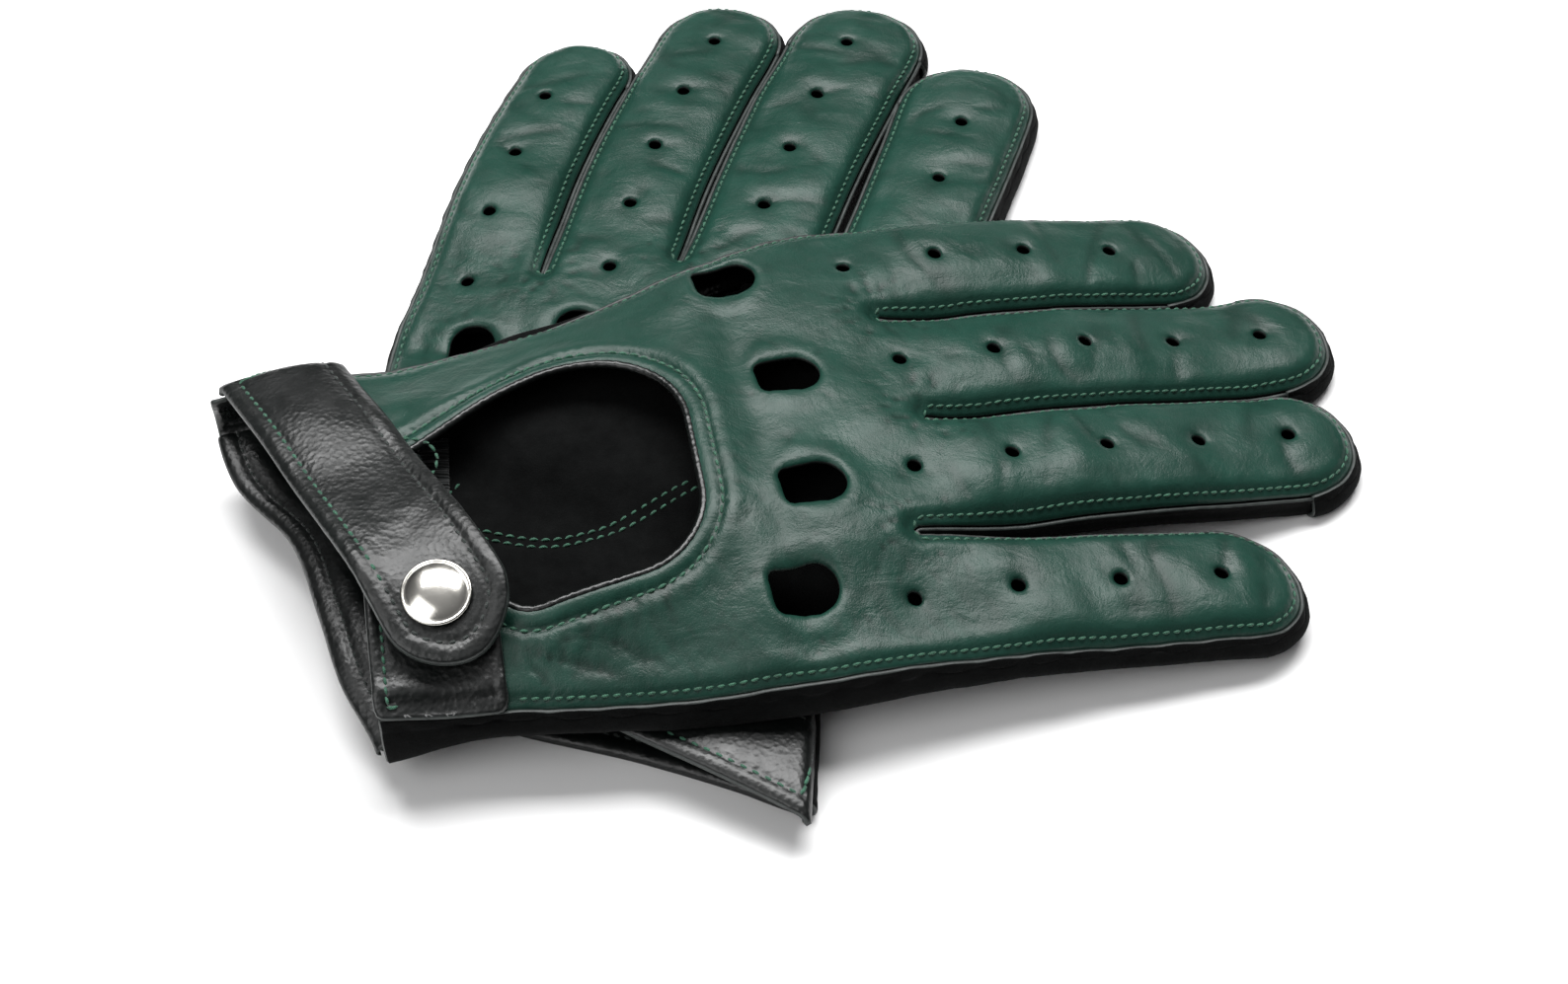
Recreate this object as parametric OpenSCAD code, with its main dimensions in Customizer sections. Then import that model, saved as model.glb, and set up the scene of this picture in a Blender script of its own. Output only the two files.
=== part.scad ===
// A pair of unlined leather driving gloves, laid down with the backs up and the
// thumbs folded flat under the palms. The left glove lies on the table and the
// right glove is laid across it. Each glove is drawn once, in its own frame: x runs
// from the wrist edge to the fingertips, y towards the thumb side, z up.

/* [Glove] */
// Thickness of the glove leather
leather = 1.0; // [0.8:0.1:1.2]
// Gap between neighbouring pieces of leather
gap = 0.25; // [0.2:0.05:0.4]
// Distance from the wrist edge to the roots of the middle and ring fingers
palm_length = 122; // [118:1:126]
// Length of each finger from x = finger_root, thumb side first
finger_length = [89, 106, 100, 87]; // [70:1:110]
// Half the width of each finger at its root
finger_half_width = [13.6, 13.7, 13.3, 12.7]; // [11:0.1:13.8]

/* [Back] */
// Length of a knuckle hole along the finger
knuckle_length = 12.4; // [10:0.2:16]
// Width of a knuckle hole across the finger
knuckle_width = 9.4; // [8:0.2:13]
// Diameter of the small air holes along the fingers
air_hole = 2.8; // [2:0.1:3.5]
// Distance from one air hole to the next
air_pitch = 20; // [16:1:20]

/* [Strap] */
// Width of the wrist strap
strap_width = 22.6; // [18:0.2:24]
// Thickness of the wrist strap
strap_thick = 1.4; // [1.2:0.1:1.6]
// Diameter of the domed cap of the snap fastener
cap_diameter = 12.5; // [10:0.5:13]

/* [Arrangement] */
// Turn of the right glove on the table
right_turn = 15.25; // [5:0.25:20]
// Turn of the left glove on the table
left_turn = 78.4; // [72:0.1:85]
// Height at which the right glove's wrist lies over the left glove
bridge_height = 16; // [16:0.1:17]

/* [Hidden] */
$fn = 28;
RIGHT = "right_";
LEFT = "left_";
PIECES = ["back_panel", "palm_panel", "thumb", "fourchette_index_middle",
          "fourchette_middle_ring", "fourchette_ring_pinky", "strap", "strap_base",
          "stud_tab", "keyhole_binding", "wrist_hem", "wrist_elastic", "snap_cap",
          "snap_socket", "snap_stud", "snap_post", "keyhole_stitching",
          "strap_stitching"];

// where each glove's wrist lies on the table
set_shift = [-1.29, -35.4];
right_origin = [-90.7, -31.4] + set_shift;
left_origin = [-46.0, -63.8] + set_shift;

// plan of the palm: y of the thumb side and of the little-finger side at each x
thumb_side = [[-9, 40], [30, 41], [60, 43], [90, 49], [112, 54.5], [126, 55]];
pinky_side = [[9.5, -41], [30, -43.7], [46, -47.3], [68, -51], [90, -53.2], [116, -53]];
right_rim = [[-9, 40], [-7.5, 28], [1, 10], [3.9, -10], [5.5, -25], [9.5, -41]];
left_rim = [[-1.2, 40.2], [1.2, 27.3], [3.7, 9.3], [4.9, -10.6], [6.3, -25.4], [9.5, -41]];

// middle lines of the fingers as each glove lies, and half their widths near the tips
finger_root = [112, 112, 112, 104];
right_mid = [[[112, 41.5], [210, 42]], [[112, 13.8], [210, 14.2]],
             [[112, -13.6], [210, -13.2]], [[104, -40.6], [200, -46.6]]];
left_mid = [[[112, 41.2], [138, 45.6], [158, 47.9], [178, 49.8], [210, 51.5]],
            [[112, 13.5], [140, 14.9], [160, 16.4], [180, 18.6], [210, 22.4]],
            [[112, -13.8], [135, -14.4], [155, -13.9], [175, -12.2], [210, -8.5]],
            [[104, -40.2], [128, -41.2], [148, -41.2], [168, -39.9], [200, -36.5]]];
right_tip_half_width = [13.2, 13.5, 13.3, 12.5];
left_tip_half_width = [15.1, 15.5, 14, 12.3];
width_run = 70;
crotch = [[palm_length - 1, 28], [palm_length, 0.5], [palm_length - 10, -27]];
palm_reach = 111;      // where the crown of the palm starts to turn into the fingers'
crown_blend = 24;

wall = leather + 0.2;  // thickness of the side walls
knuckle_at = [[92.9, 41], [98, 11.8], [95.4, -15.8], [88, -36.5]];
air_start = [117.6, 121, 115.4, 107.3];
air_count = [4, 5, 5, 4];
left_air_shift = [1, -1.3, 0, -2.2];
// the right glove's fingers slope down to the table and curl, which shortens them in plan
right_air_share = 0.97;
right_length_share = [0.965, 0.953, 0.945, 0.885];

// keyhole cut-out: four corner circles, and the way from them out to the wrist edge
keyhole_corners = [[58, 6, 18.5], [59, -12, 16], [42, -22.5, 7.5], [24, 8.9, 2.5]];
keyhole_way = [[-15, 8], [-15, -12], [16, -10], [28, -8], [30, -2], [22, 10]];

// thumb, folded under the palm
thumb_root = [58, 26];
thumb_tip = [106, -3];
thumb_half_width = 13.5;
thumb_height = 5.4;
thumb_round = 2.2;     // how much lower the thumb is along its edge
thumb_slope = 8;       // how far in from its edge the thumb slopes
thumb_fade = 14;

// strap: through the snap, slanting back to the thumb side of the wrist
snap_at = [24.7, -24.5];
strap_turn = -73;
strap_run = 41.4;      // from the hinge to the snap
strap_end_run = 2.4;   // from the snap to the middle of the round end
strap_root_run = 29;   // sewn part, from the hinge to the thumb side
strap_clear = 0.6;
strap_rise = 4.6;      // height of the strap over the leather at the snap
strap_hole = 6.8;      // hole in the strap for the snap
tab_hole = 4;          // hole in the back and in the stud tab for the snap
tab_height = 0.3;      // underside of the stud tab over the leather
tab_thick = 1.0;
stitch_inset = 3.5;
stitch_width = 0.8;

// height of the back's edge and of its crown, over the underside of the palm
right_edge = [[0, 16], [10, 14.5], [24, 8.4], [46, 6.7], [68, 8.3], [92, 9.6], [118, 7],
              [132, 5.4], [147, 5.2], [165, 5.8], [215, 6.2]];
left_edge = [[0, 6.2], [24, 5.2], [44, 7], [60, 7.7], [95, 8], [120, 8.5], [215, 7]];
right_crown = [[0, 1.5], [24, 2.6], [46, 9.6], [62, 9.2], [80, 7.6], [98, 5.8], [120, 5],
               [215, 3.2]];
left_crown = [[0, 2.2], [24, 2], [60, 3], [100, 4.2], [124, 4], [215, 3.2]];

// the right glove over the table: along its middle, as a share of bridge_height, and how far
// it sinks towards the little finger and towards the thumb
right_ridge = [[-9, 0.54], [10, 0.76], [25, 1], [46, 0.93], [60, 0.85], [95, 0.81],
               [118, 0.79], [132, 0.82], [145, 0.75], [160, 0.55], [180, 0.22], [197, 0.03]];
right_droop = [[0, 7.5], [25, 6], [46, 3.3], [70, 3.2], [95, 3.3], [118, 3.7], [140, 5.5],
               [170, 2.7], [190, 0.4]];
right_thumb_droop = [[-9, -3], [10, 0], [25, 3], [55, 0], [85, -2.4], [105, -2.4],
                     [125, -0.6], [140, 0]];
right_thumb_thin = [[-9, 5.5], [15, 3], [40, 0]];   // how much thinner it is at the thumb's side
droop_from = 16;       // distance from the middle at which the sinking starts
droop_run = 32;
left_wrist_sway = 11;  // how far the left glove's wrist bends to its thumb side
table_clear = 0.4;

hem_width = 8;
elastic_at = 27;
elastic_half_length = 22;
elastic_clear = 1.1;

GREEN = [0.16, 0.33, 0.27];
BLACK = [0.13, 0.15, 0.15];
THREAD = [0.22, 0.5, 0.36];
NICKEL = [0.75, 0.74, 0.72];

// ---- plan and heights ----

function smooth(t) = let (u = min(1, max(0, t))) u * u * (3 - 2 * u);
function bent(side, x) = side == LEFT ? left_wrist_sway * pow(max(0, 1 - x / 110), 2) : 0;
function bend(side, points) = [for (p = points) [p.x, p.y + bent(side, p.x)]];
function rim(side) = side == LEFT ? left_rim : right_rim;
function length_of(side, i) = finger_length[i] * (side == LEFT ? 1 : right_length_share[i]);
function mid_line(side) = side == LEFT ? left_mid : right_mid;
function finger_half(side, i, x) =
    let (tip = (side == LEFT ? left_tip_half_width : right_tip_half_width)[i],
         t = min(1, max(0, (x - finger_root[i]) / width_run)))
    finger_half_width[i] * (1 - t) + tip * t;

function palm_across(x, y) =
    let (high = lookup(x, thumb_side), low = lookup(x, pinky_side))
    (y - (high + low) / 2) / ((high - low) / 2);
function finger_mid(side, i, x) = lookup(x, mid_line(side)[i]);
function finger_across(side, x, y) =
    min([for (i = [0:3]) abs(y - finger_mid(side, i, x)) / (finger_half(side, i, x) - 0.6)]);

function base_z(side, x, y) = side == LEFT ? 0
    : max(table_clear, bridge_height * lookup(x, right_ridge)
          - lookup(x, right_droop) * smooth((-y - droop_from) / droop_run)
          - lookup(x, right_thumb_droop) * smooth((y - droop_from) / droop_run));
function off_thumb(x, y) =
    let (run = thumb_tip - thumb_root, p = [x, y] - thumb_root,
         t = min(1, max(0, p * run / (run * run))))
    norm(p - t * run) - thumb_half_width;
function tuck(x, y) = (thumb_height + gap) * (1 - smooth((off_thumb(x, y) - 1) / thumb_fade));

function palm_z(side, x, v) = let (y = v - bent(side, x)) base_z(side, x, y) + tuck(x, y);
function edge_z(side, x, v) = let (y = v - bent(side, x))
    base_z(side, x, y) + lookup(x, side == LEFT ? left_edge : right_edge)
    - (side == LEFT ? 0 : lookup(x, right_thumb_thin) * smooth((y - droop_from) / droop_run));
function back_z(side, x, v) =
    let (y = v - bent(side, x), crown = lookup(x, side == LEFT ? left_crown : right_crown),
         palm = 1 - min(1, pow(palm_across(x, y), 2)),
         finger = 1 - min(1, pow(finger_across(side, x, y), 2)),
         t = smooth((x - palm_reach) / crown_blend))
    edge_z(side, x, v) + crown * (palm * (1 - t) + finger * t);

strap_dir = [cos(strap_turn), sin(strap_turn)];
function strap_lift(side, x, v) =
    let (p = [x, v] - snap_point(side), u = p * strap_dir + strap_run)
    strap_clear + (strap_rise - strap_clear) * smooth((u - 4) / (strap_run - 12));
function snap_point(side) = bend(side, [snap_at])[0];
function strap_z(side, x, v) = back_z(side, x, v) + strap_lift(side, x, v);

// ---- flat shapes ----

module finger_shape(side, i, inset = 0) {
    tip = finger_half(side, i, finger_root[i] + width_run);
    end = finger_root[i] + length_of(side, i) - tip;
    start = finger_root[i] - 8;
    xs = [for (k = [0:4]) start + (end - start) * k / 4];
    polygon(concat(
        [for (x = xs) [x, finger_mid(side, i, x) - finger_half(side, i, x) + inset]],
        [for (k = [4:-1:0]) [xs[k], finger_mid(side, i, xs[k]) + finger_half(side, i, xs[k])
                                    - inset]]));
    translate([end, finger_mid(side, i, end)]) circle(tip - inset);
}

module palm_shape(side, inset = 0) {
    low_edge = [for (x = [20:14:104]) [x, lookup(x, pinky_side)]];
    high_edge = [for (x = [112:-14:0]) [x, lookup(x, thumb_side)]];
    offset(delta = -inset) polygon(bend(side, concat(rim(side), low_edge,
        [crotch[2], crotch[1], crotch[0]], high_edge)));
}

module glove_shape(side, inset = 0) {
    palm_shape(side, inset);
    for (i = [0:3]) finger_shape(side, i, inset);
}

module keyhole_shape(side) {
    hull() for (c = keyhole_corners) translate(bend(side, [[c.x, c.y]])[0]) circle(c.z);
}

module keyhole_cut(side) {
    keyhole_shape(side);
    polygon(bend(side, keyhole_way));
}

module knuckle_hole() {
    hull() {
        translate([knuckle_length / 2 - knuckle_width / 2, 0]) circle(d = knuckle_width);
        for (s = [-1, 1]) translate([1.5 - knuckle_length / 2, s * (knuckle_width / 2 - 3)])
            circle(1.5);
    }
}

module back_holes(side) {
    for (p = knuckle_at) translate(p) knuckle_hole();
    pitch = air_pitch * (side == RIGHT ? right_air_share : 1);
    for (i = [0:3]) for (x = [for (k = [0:air_count[i] - 1]) air_start[i] + k * pitch])
        translate([x, finger_mid(side, i, x) + (side == LEFT ? left_air_shift[i] : 0)])
            rotate(7) circle(d = air_hole, $fn = 10);
}

module wall_shape(side) {
    difference() {
        glove_shape(side);
        glove_shape(side, wall);
    }
}

// the area between the middle lines of finger i and the next one
module between_fingers(side, i, grow = 0) {
    end = min(length_of(side, i) + finger_root[i],
              length_of(side, i + 1) + finger_root[i + 1]) - 9;
    start = crotch[i].x - 3;
    offset(delta = grow) polygon([for (end_of = [[i, start], [i, end], [i + 1, end], [i + 1, start]])
        [end_of.y, finger_mid(side, end_of.x, end_of.y)]]);
}

// the band behind the rim, from start to end in x, kept off the side walls
module wrist_band(side, start, end, inset) {
    line = bend(side, rim(side));
    last = len(line) - 1;
    inner = [for (k = [0:last]) line[k] + [0, k == 0 ? -inset : k == last ? inset : 0]];
    polygon(concat([for (p = inner) p + [start, 0]],
                   [for (k = [last:-1:0]) inner[k] + [end, 0]]));
}

module strap_shape(side, from, to, inset = 0, end_round = true) {
    translate(snap_point(side)) rotate(strap_turn) {
        translate([from - strap_run, -strap_width / 2 + inset])
            square([to - from + (end_round ? strap_end_run : 0), strap_width - 2 * inset]);
        if (end_round) translate([strap_end_run, 0]) circle(strap_width / 2 - inset);
    }
}

module tab_shape(side) {
    translate(snap_point(side) + [-13.7, -18.6]) offset(r = 2) offset(delta = -2) square([23.5, 27.6]);
}

// ---- leather made from a flat shape between two height functions ----

module slab(low, high, from, to, step) {
    nx = ceil((to.x - from.x) / step.x);
    ny = ceil((to.y - from.y) / step.y);
    function id(top, i, j) = (top * (nx + 1) + i) * (ny + 1) + j;
    points = [for (top = [0, 1]) for (i = [0:nx]) for (j = [0:ny])
        let (x = from.x + i * (to.x - from.x) / nx, y = from.y + j * (to.y - from.y) / ny)
        [x, y, top == 0 ? low(x, y) : high(x, y)]];
    quads = concat(
        [for (i = [0:nx - 1]) for (j = [0:ny - 1])
            [id(0, i, j), id(0, i + 1, j), id(0, i + 1, j + 1), id(0, i, j + 1)]],
        [for (i = [0:nx - 1]) for (j = [0:ny - 1])
            [id(1, i, j), id(1, i, j + 1), id(1, i + 1, j + 1), id(1, i + 1, j)]],
        [for (i = [0:nx - 1]) [id(0, i, 0), id(1, i, 0), id(1, i + 1, 0), id(0, i + 1, 0)]],
        [for (i = [0:nx - 1]) [id(0, i + 1, ny), id(1, i + 1, ny), id(1, i, ny), id(0, i, ny)]],
        [for (j = [0:ny - 1]) [id(0, 0, j + 1), id(1, 0, j + 1), id(1, 0, j), id(0, 0, j)]],
        [for (j = [0:ny - 1]) [id(0, nx, j), id(1, nx, j), id(1, nx, j + 1), id(0, nx, j + 1)]]);
    polyhedron(points, [for (q = quads) for (t = [[q[0], q[1], q[2]], [q[0], q[2], q[3]]]) t]);
}

whole_from = [-12, -62];
whole_to = [222, 68];
wrist_from = [-16, -62];
wrist_to = [80, 62];

// the children's flat shape, given the heights of the leather; evaluated as one mesh
module leather_piece(low, high, step = [8.9, 6.1], from = whole_from, to = whole_to) {
    resize([0, 0, 0]) intersection() {
        translate([0, 0, -5]) linear_extrude(75) children();
        slab(low, high, from, to, step);
    }
}

module on_table(side) {
    translate(side == RIGHT ? right_origin : left_origin)
        rotate(side == RIGHT ? right_turn : left_turn)
            mirror([0, side == RIGHT ? 0 : 1, 0]) children();
}

// the snap's own frame: z leaves the leather at a right angle
module at_snap(side) {
    p = snap_point(side);
    reach = 5;
    slope_x = (back_z(side, p.x + reach, p.y) - back_z(side, p.x - reach, p.y)) / (2 * reach);
    slope_y = (back_z(side, p.x, p.y + reach) - back_z(side, p.x, p.y - reach)) / (2 * reach);
    translate([p.x, p.y, back_z(side, p.x, p.y)])
        rotate(a = acos(1 / norm([slope_x, slope_y, 1])), v = [slope_y, -slope_x, 0])
            children();
}

// ---- pieces of one glove ----

module back_panel(side) {
    color(GREEN) on_table(side)
        leather_piece(function (x, y) back_z(side, x, y) - leather,
                      function (x, y) back_z(side, x, y)) {
            difference() {
                glove_shape(side, wall + gap);
                keyhole_cut(side);
                back_holes(side);
                translate(snap_point(side)) circle(d = tab_hole);
            }
        }
}

module palm_panel(side) {
    color(BLACK) on_table(side) resize([0, 0, 0]) difference() {
        leather_piece(function (x, y) palm_z(side, x, y),
                      function (x, y) edge_z(side, x, y), [11.7, 8.1]) glove_shape(side);
        leather_piece(function (x, y) palm_z(side, x, y) + leather,
                      function (x, y) edge_z(side, x, y) + 5, [11.7, 8.1]) {
            glove_shape(side, wall);
            wrist_band(side, -14, 3, wall);
            for (i = [0:2]) between_fingers(side, i, gap);
        }
        translate(concat(thumb_root + [6, -3], [0])) rotate(-31) scale([1.3, 1, 1])
            cylinder(h = 60, r = 8, $fn = 24);
    }
}

module fourchette(side, i) {
    color(BLACK) on_table(side)
        leather_piece(function (x, y) palm_z(side, x, y) + leather + gap,
                      function (x, y) edge_z(side, x, y), [11.7, 8.1]) {
            intersection() {
                wall_shape(side);
                between_fingers(side, i);
            }
        }
}

module thumb_shape(inset) {
    hull() {
        translate(thumb_root) circle(thumb_half_width - inset);
        translate(thumb_tip) circle(thumb_half_width - 1.2 - inset);
    }
}

module thumb(side) {
    low = function (x, y) base_z(side, x, y - bent(side, x));
    top = function (x, y) low(x, y) + thumb_height
        - thumb_round * smooth(1 + off_thumb(x, y - bent(side, x)) / thumb_slope);
    color(BLACK) on_table(side) resize([0, 0, 0]) difference() {
        leather_piece(low, top, [12.3, 9.4], [40, -24], [126, 50]) thumb_shape(0);
        leather_piece(function (x, y) low(x, y) + leather,
                      function (x, y) top(x, y) - leather, [12.3, 9.4],
                      [40, -24], [126, 50]) thumb_shape(leather);
        translate(concat(thumb_root + [6, -3], [low(64, 23) + leather + 1]))
            rotate(-31) scale([1.25, 0.95, 1]) cylinder(h = 9, r = 8, $fn = 24);
    }
}

module strap(side) {
    color(BLACK) on_table(side)
        leather_piece(function (x, y) strap_z(side, x, y),
                      function (x, y) strap_z(side, x, y) + strap_thick, [6.7, 5.9],
                      wrist_from, wrist_to) {
            difference() {
                strap_shape(side, 0.4, strap_run);
                translate(snap_point(side)) circle(d = strap_hole);
            }
        }
}

module strap_base(side) {
    color(BLACK) on_table(side)
        leather_piece(function (x, y) strap_z(side, x, y),
                      function (x, y) strap_z(side, x, y) + strap_thick, [6.7, 5.9],
                      wrist_from, wrist_to) {
            intersection() {
                strap_shape(side, -strap_root_run, 0, 0, false);
                glove_shape(side, wall + gap);
            }
        }
}

module stud_tab(side) {
    color(BLACK) on_table(side)
        leather_piece(function (x, y) back_z(side, x, y) + tab_height,
                      function (x, y) back_z(side, x, y) + tab_height + tab_thick,
                      [6.7, 5.9], wrist_from, wrist_to) {
            difference() {
                intersection() {
                    tab_shape(side);
                    glove_shape(side, wall + gap);
                }
                offset(r = 2) keyhole_cut(side);
                translate(snap_point(side)) circle(d = tab_hole);
            }
        }
}

module keyhole_binding(side) {
    color(BLACK) on_table(side)
        leather_piece(function (x, y) back_z(side, x, y) - 1.4,
                      function (x, y) back_z(side, x, y) + 0.5, [6.7, 5.9],
                      wrist_from, wrist_to) {
            intersection() {
                difference() {
                    offset(r = -gap) keyhole_cut(side);
                    offset(r = -gap - 1.3) keyhole_cut(side);
                }
                offset(r = -9) palm_shape(side);
            }
        }
}

module wrist_hem(side) {
    color(BLACK) on_table(side)
        leather_piece(function (x, y) palm_z(side, x, y) + leather + gap,
                      function (x, y) palm_z(side, x, y) + 2 * leather + gap, [6.7, 7.3],
                      wrist_from, wrist_to) {
            intersection() {
                glove_shape(side, wall + gap);
                wrist_band(side, 0, hem_width, -3);
            }
        }
}

module wrist_elastic(side) {
    color(BLACK) on_table(side)
        leather_piece(function (x, y) palm_z(side, x, y) + leather + elastic_clear,
                      function (x, y) palm_z(side, x, y) + leather + elastic_clear + 0.6,
                      [6.7, 7.3],
                      wrist_from, wrist_to) {
            translate([elastic_at, bent(side, elastic_at)]) rotate(-9)
                translate([-3, -elastic_half_length]) square([6, 2 * elastic_half_length]);
        }
}

module keyhole_stitching(side) {
    color(THREAD) on_table(side)
        leather_piece(function (x, y) back_z(side, x, y) + 0.1,
                      function (x, y) back_z(side, x, y) + 0.5, [6.7, 5.9],
                      wrist_from, wrist_to) {
            difference() {
                offset(r = 3 + stitch_width) keyhole_shape(side);
                offset(r = 3) keyhole_shape(side);
                offset(r = 4) polygon(bend(side, keyhole_way));
                offset(r = 1) tab_shape(side);
                strap_shape(side, -strap_root_run, strap_run, -1);
            }
        }
}

module strap_stitching(side) {
    color(THREAD) on_table(side)
        leather_piece(function (x, y) strap_z(side, x, y) + strap_thick + 0.1,
                      function (x, y) strap_z(side, x, y) + strap_thick + 0.5, [6.7, 5.9],
                      wrist_from, wrist_to) {
            difference() {
                strap_shape(side, 1, strap_run, stitch_inset);
                strap_shape(side, 0, strap_run, stitch_inset + stitch_width);
            }
        }
}

// the snap, from the inside of the glove to the top of the strap
post_bottom = -leather - 0.9;
stud_bottom = tab_height + tab_thick + 0.3;
stud_disc = 0.5;
boss_top = 3.9;
boss_diameter = 4.4;
socket_bottom = 2.5;
socket_top = 4.2;
cap_bottom = strap_rise + strap_thick + 0.5;
cap_height = 1.8;

module snap_cap(side) {
    color(NICKEL) on_table(side) at_snap(side) {
        translate([0, 0, cap_bottom]) rotate_extrude($fn = 48) difference() {
            intersection() {
                scale([1, cap_height * 2 / cap_diameter]) circle(d = cap_diameter);
                square([cap_diameter / 2, cap_height]);
            }
            square([1, 0.01]);
        }
        translate([0, 0, socket_top + 0.1])
            cylinder(h = cap_bottom - socket_top + 0.2, d = 3);
    }
}

module snap_socket(side) {
    color(NICKEL) on_table(side) at_snap(side) translate([0, 0, socket_bottom])
        difference() {
            cylinder(h = socket_top - socket_bottom, d = 10.4, $fn = 48);
            translate([0, 0, -1]) cylinder(h = socket_top - socket_bottom + 2, d = 5.4);
        }
}

module snap_stud(side) {
    color(NICKEL) on_table(side) at_snap(side) translate([0, 0, stud_bottom])
        difference() {
            union() {
                cylinder(h = stud_disc, d = 9.4, $fn = 48);
                cylinder(h = boss_top - stud_bottom, d = boss_diameter);
            }
            translate([0, 0, -1]) cylinder(h = boss_top - stud_bottom + 0.4, d = 2.4);
        }
}

module snap_post(side) {
    color(NICKEL) on_table(side) at_snap(side) {
        translate([0, 0, post_bottom]) cylinder(h = 0.5, d = 8.4, $fn = 48);
        translate([0, 0, post_bottom]) cylinder(h = boss_top - 0.9 - post_bottom, d = 2);
    }
}

for (side = [RIGHT, LEFT]) {
    back_panel(side);
    palm_panel(side);
    thumb(side);
    fourchette(side, 0);
    fourchette(side, 1);
    fourchette(side, 2);
    strap(side);
    strap_base(side);
    stud_tab(side);
    keyhole_binding(side);
    wrist_hem(side);
    wrist_elastic(side);
    snap_cap(side);
    snap_socket(side);
    snap_stud(side);
    snap_post(side);
    keyhole_stitching(side);
    strap_stitching(side);
}
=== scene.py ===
"""A pair of leather driving gloves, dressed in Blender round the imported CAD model.

Each glove is built once in its own flat frame (x from the wrist to the fingertips, y to the
thumb side, millimetres), given its height by the same rules as the CAD, and then laid on the
table. The right glove lies across the left one.
"""
import math

import bpy
import numpy as np
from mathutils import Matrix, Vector
from mathutils.geometry import delaunay_2d_cdt


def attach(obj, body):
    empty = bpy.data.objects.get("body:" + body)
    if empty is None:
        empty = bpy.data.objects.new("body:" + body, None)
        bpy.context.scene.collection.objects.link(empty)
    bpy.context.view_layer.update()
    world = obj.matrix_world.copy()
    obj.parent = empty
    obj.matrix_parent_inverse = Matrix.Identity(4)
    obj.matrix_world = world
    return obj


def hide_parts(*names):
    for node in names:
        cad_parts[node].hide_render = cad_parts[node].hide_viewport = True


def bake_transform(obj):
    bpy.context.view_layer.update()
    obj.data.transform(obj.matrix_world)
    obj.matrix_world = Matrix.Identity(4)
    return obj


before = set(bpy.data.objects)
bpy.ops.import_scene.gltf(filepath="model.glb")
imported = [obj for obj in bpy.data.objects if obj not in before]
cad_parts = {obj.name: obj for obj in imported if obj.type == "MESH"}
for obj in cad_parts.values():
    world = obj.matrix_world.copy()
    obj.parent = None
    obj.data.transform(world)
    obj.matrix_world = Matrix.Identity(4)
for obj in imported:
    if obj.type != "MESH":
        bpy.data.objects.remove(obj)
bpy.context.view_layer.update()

MM = 0.001
RIGHT, LEFT = "right", "left"
SEED = 7

# ---- pattern of one glove ---------------------------------------------------------------
LEATHER = 1.0
FINGER_LENGTH = {RIGHT: [85.9, 101, 94.5, 77], LEFT: [89, 106, 100, 87]}
FINGER_HALF_WIDTH = [13.6, 13.7, 13.3, 12.7]
TIP_HALF_WIDTH = {RIGHT: [13.2, 13.5, 13.3, 12.5], LEFT: [15.1, 15.5, 14, 12.3]}
FINGER_ROOT = [112, 112, 112, 104]
WIDTH_RUN = 70
MIDDLE = {RIGHT: [[(112, 41.5), (210, 42)], [(112, 13.8), (210, 14.2)],
                  [(112, -13.6), (210, -13.2)], [(104, -40.6), (200, -46.6)]],
          LEFT: [[(112, 41.2), (138, 45.6), (158, 47.9), (178, 49.8), (210, 51.5)],
                 [(112, 13.5), (140, 14.9), (160, 16.4), (180, 18.6), (210, 22.4)],
                 [(112, -13.8), (135, -14.4), (155, -13.9), (175, -12.2), (210, -8.5)],
                 [(104, -40.2), (128, -41.2), (148, -41.2), (168, -39.9), (200, -36.5)]]}
CROTCH = [(121, 28), (122, 0.5), (112, -27)]
RIM = {RIGHT: [(9.5, -41), (5.5, -25), (3.9, -10), (1, 10), (-7.5, 28), (-9, 40)],
       LEFT: [(9.5, -41), (6.3, -25.4), (4.9, -10.6), (3.7, 9.3), (1.2, 27.3), (-1.2, 40.2)]}
THUMB_SIDE = [(-9, 40), (30, 41), (60, 43), (90, 49)]
PINKY_SIDE = [(9.5, -41), (30, -43.7), (46, -47.3), (68, -51), (90, -53.2)]
KNUCKLE = [(92.9, 41), (98, 11.8), (95.4, -15.8), (88, -36.5)]
KNUCKLE_LENGTH, KNUCKLE_WIDTH = 12.4, 9.4
AIR_START = [117.6, 121, 115.4, 107.3]
AIR_COUNT = [4, 5, 5, 4]
AIR_SHIFT = {RIGHT: [0, 0, 0, 0], LEFT: [1, -1.3, 0, -2.2]}
AIR_PITCH, AIR_RADIUS = {RIGHT: 19.4, LEFT: 20}, 1.4
KEYHOLE = [(42, -22.5, 7.5), (59, -12, 16), (58, 6, 18.5), (24, 8.9, 2.5)]
MOUTH_LOW, MOUTH_HIGH = -12, 8
BACK_WRIST_LOW, BACK_WRIST_HIGH = (13, 11.5), (8, 0.5)   # x of the back's edge at the wrist
THUMB_ROOT, THUMB_TIP = np.array([58.0, 26.0]), np.array([106.0, -3.0])
THUMB_HALF_WIDTH, THUMB_HEIGHT, THUMB_FADE = 13.5, 5.4, 14
SNAP = np.array([24.7, -24.5])
STRAP_TURN = math.radians(-73)
STRAP_WIDTH, STRAP_THICK = 22.6, 1.7
STRAP_RUN, STRAP_ROOT_RUN, STRAP_END_RUN = 41.4, 29, 2.4
STRAP_CLEAR, STRAP_RISE = 0.6, 4.4
PALM_REACH, CROWN_BLEND = 111, 24

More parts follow.
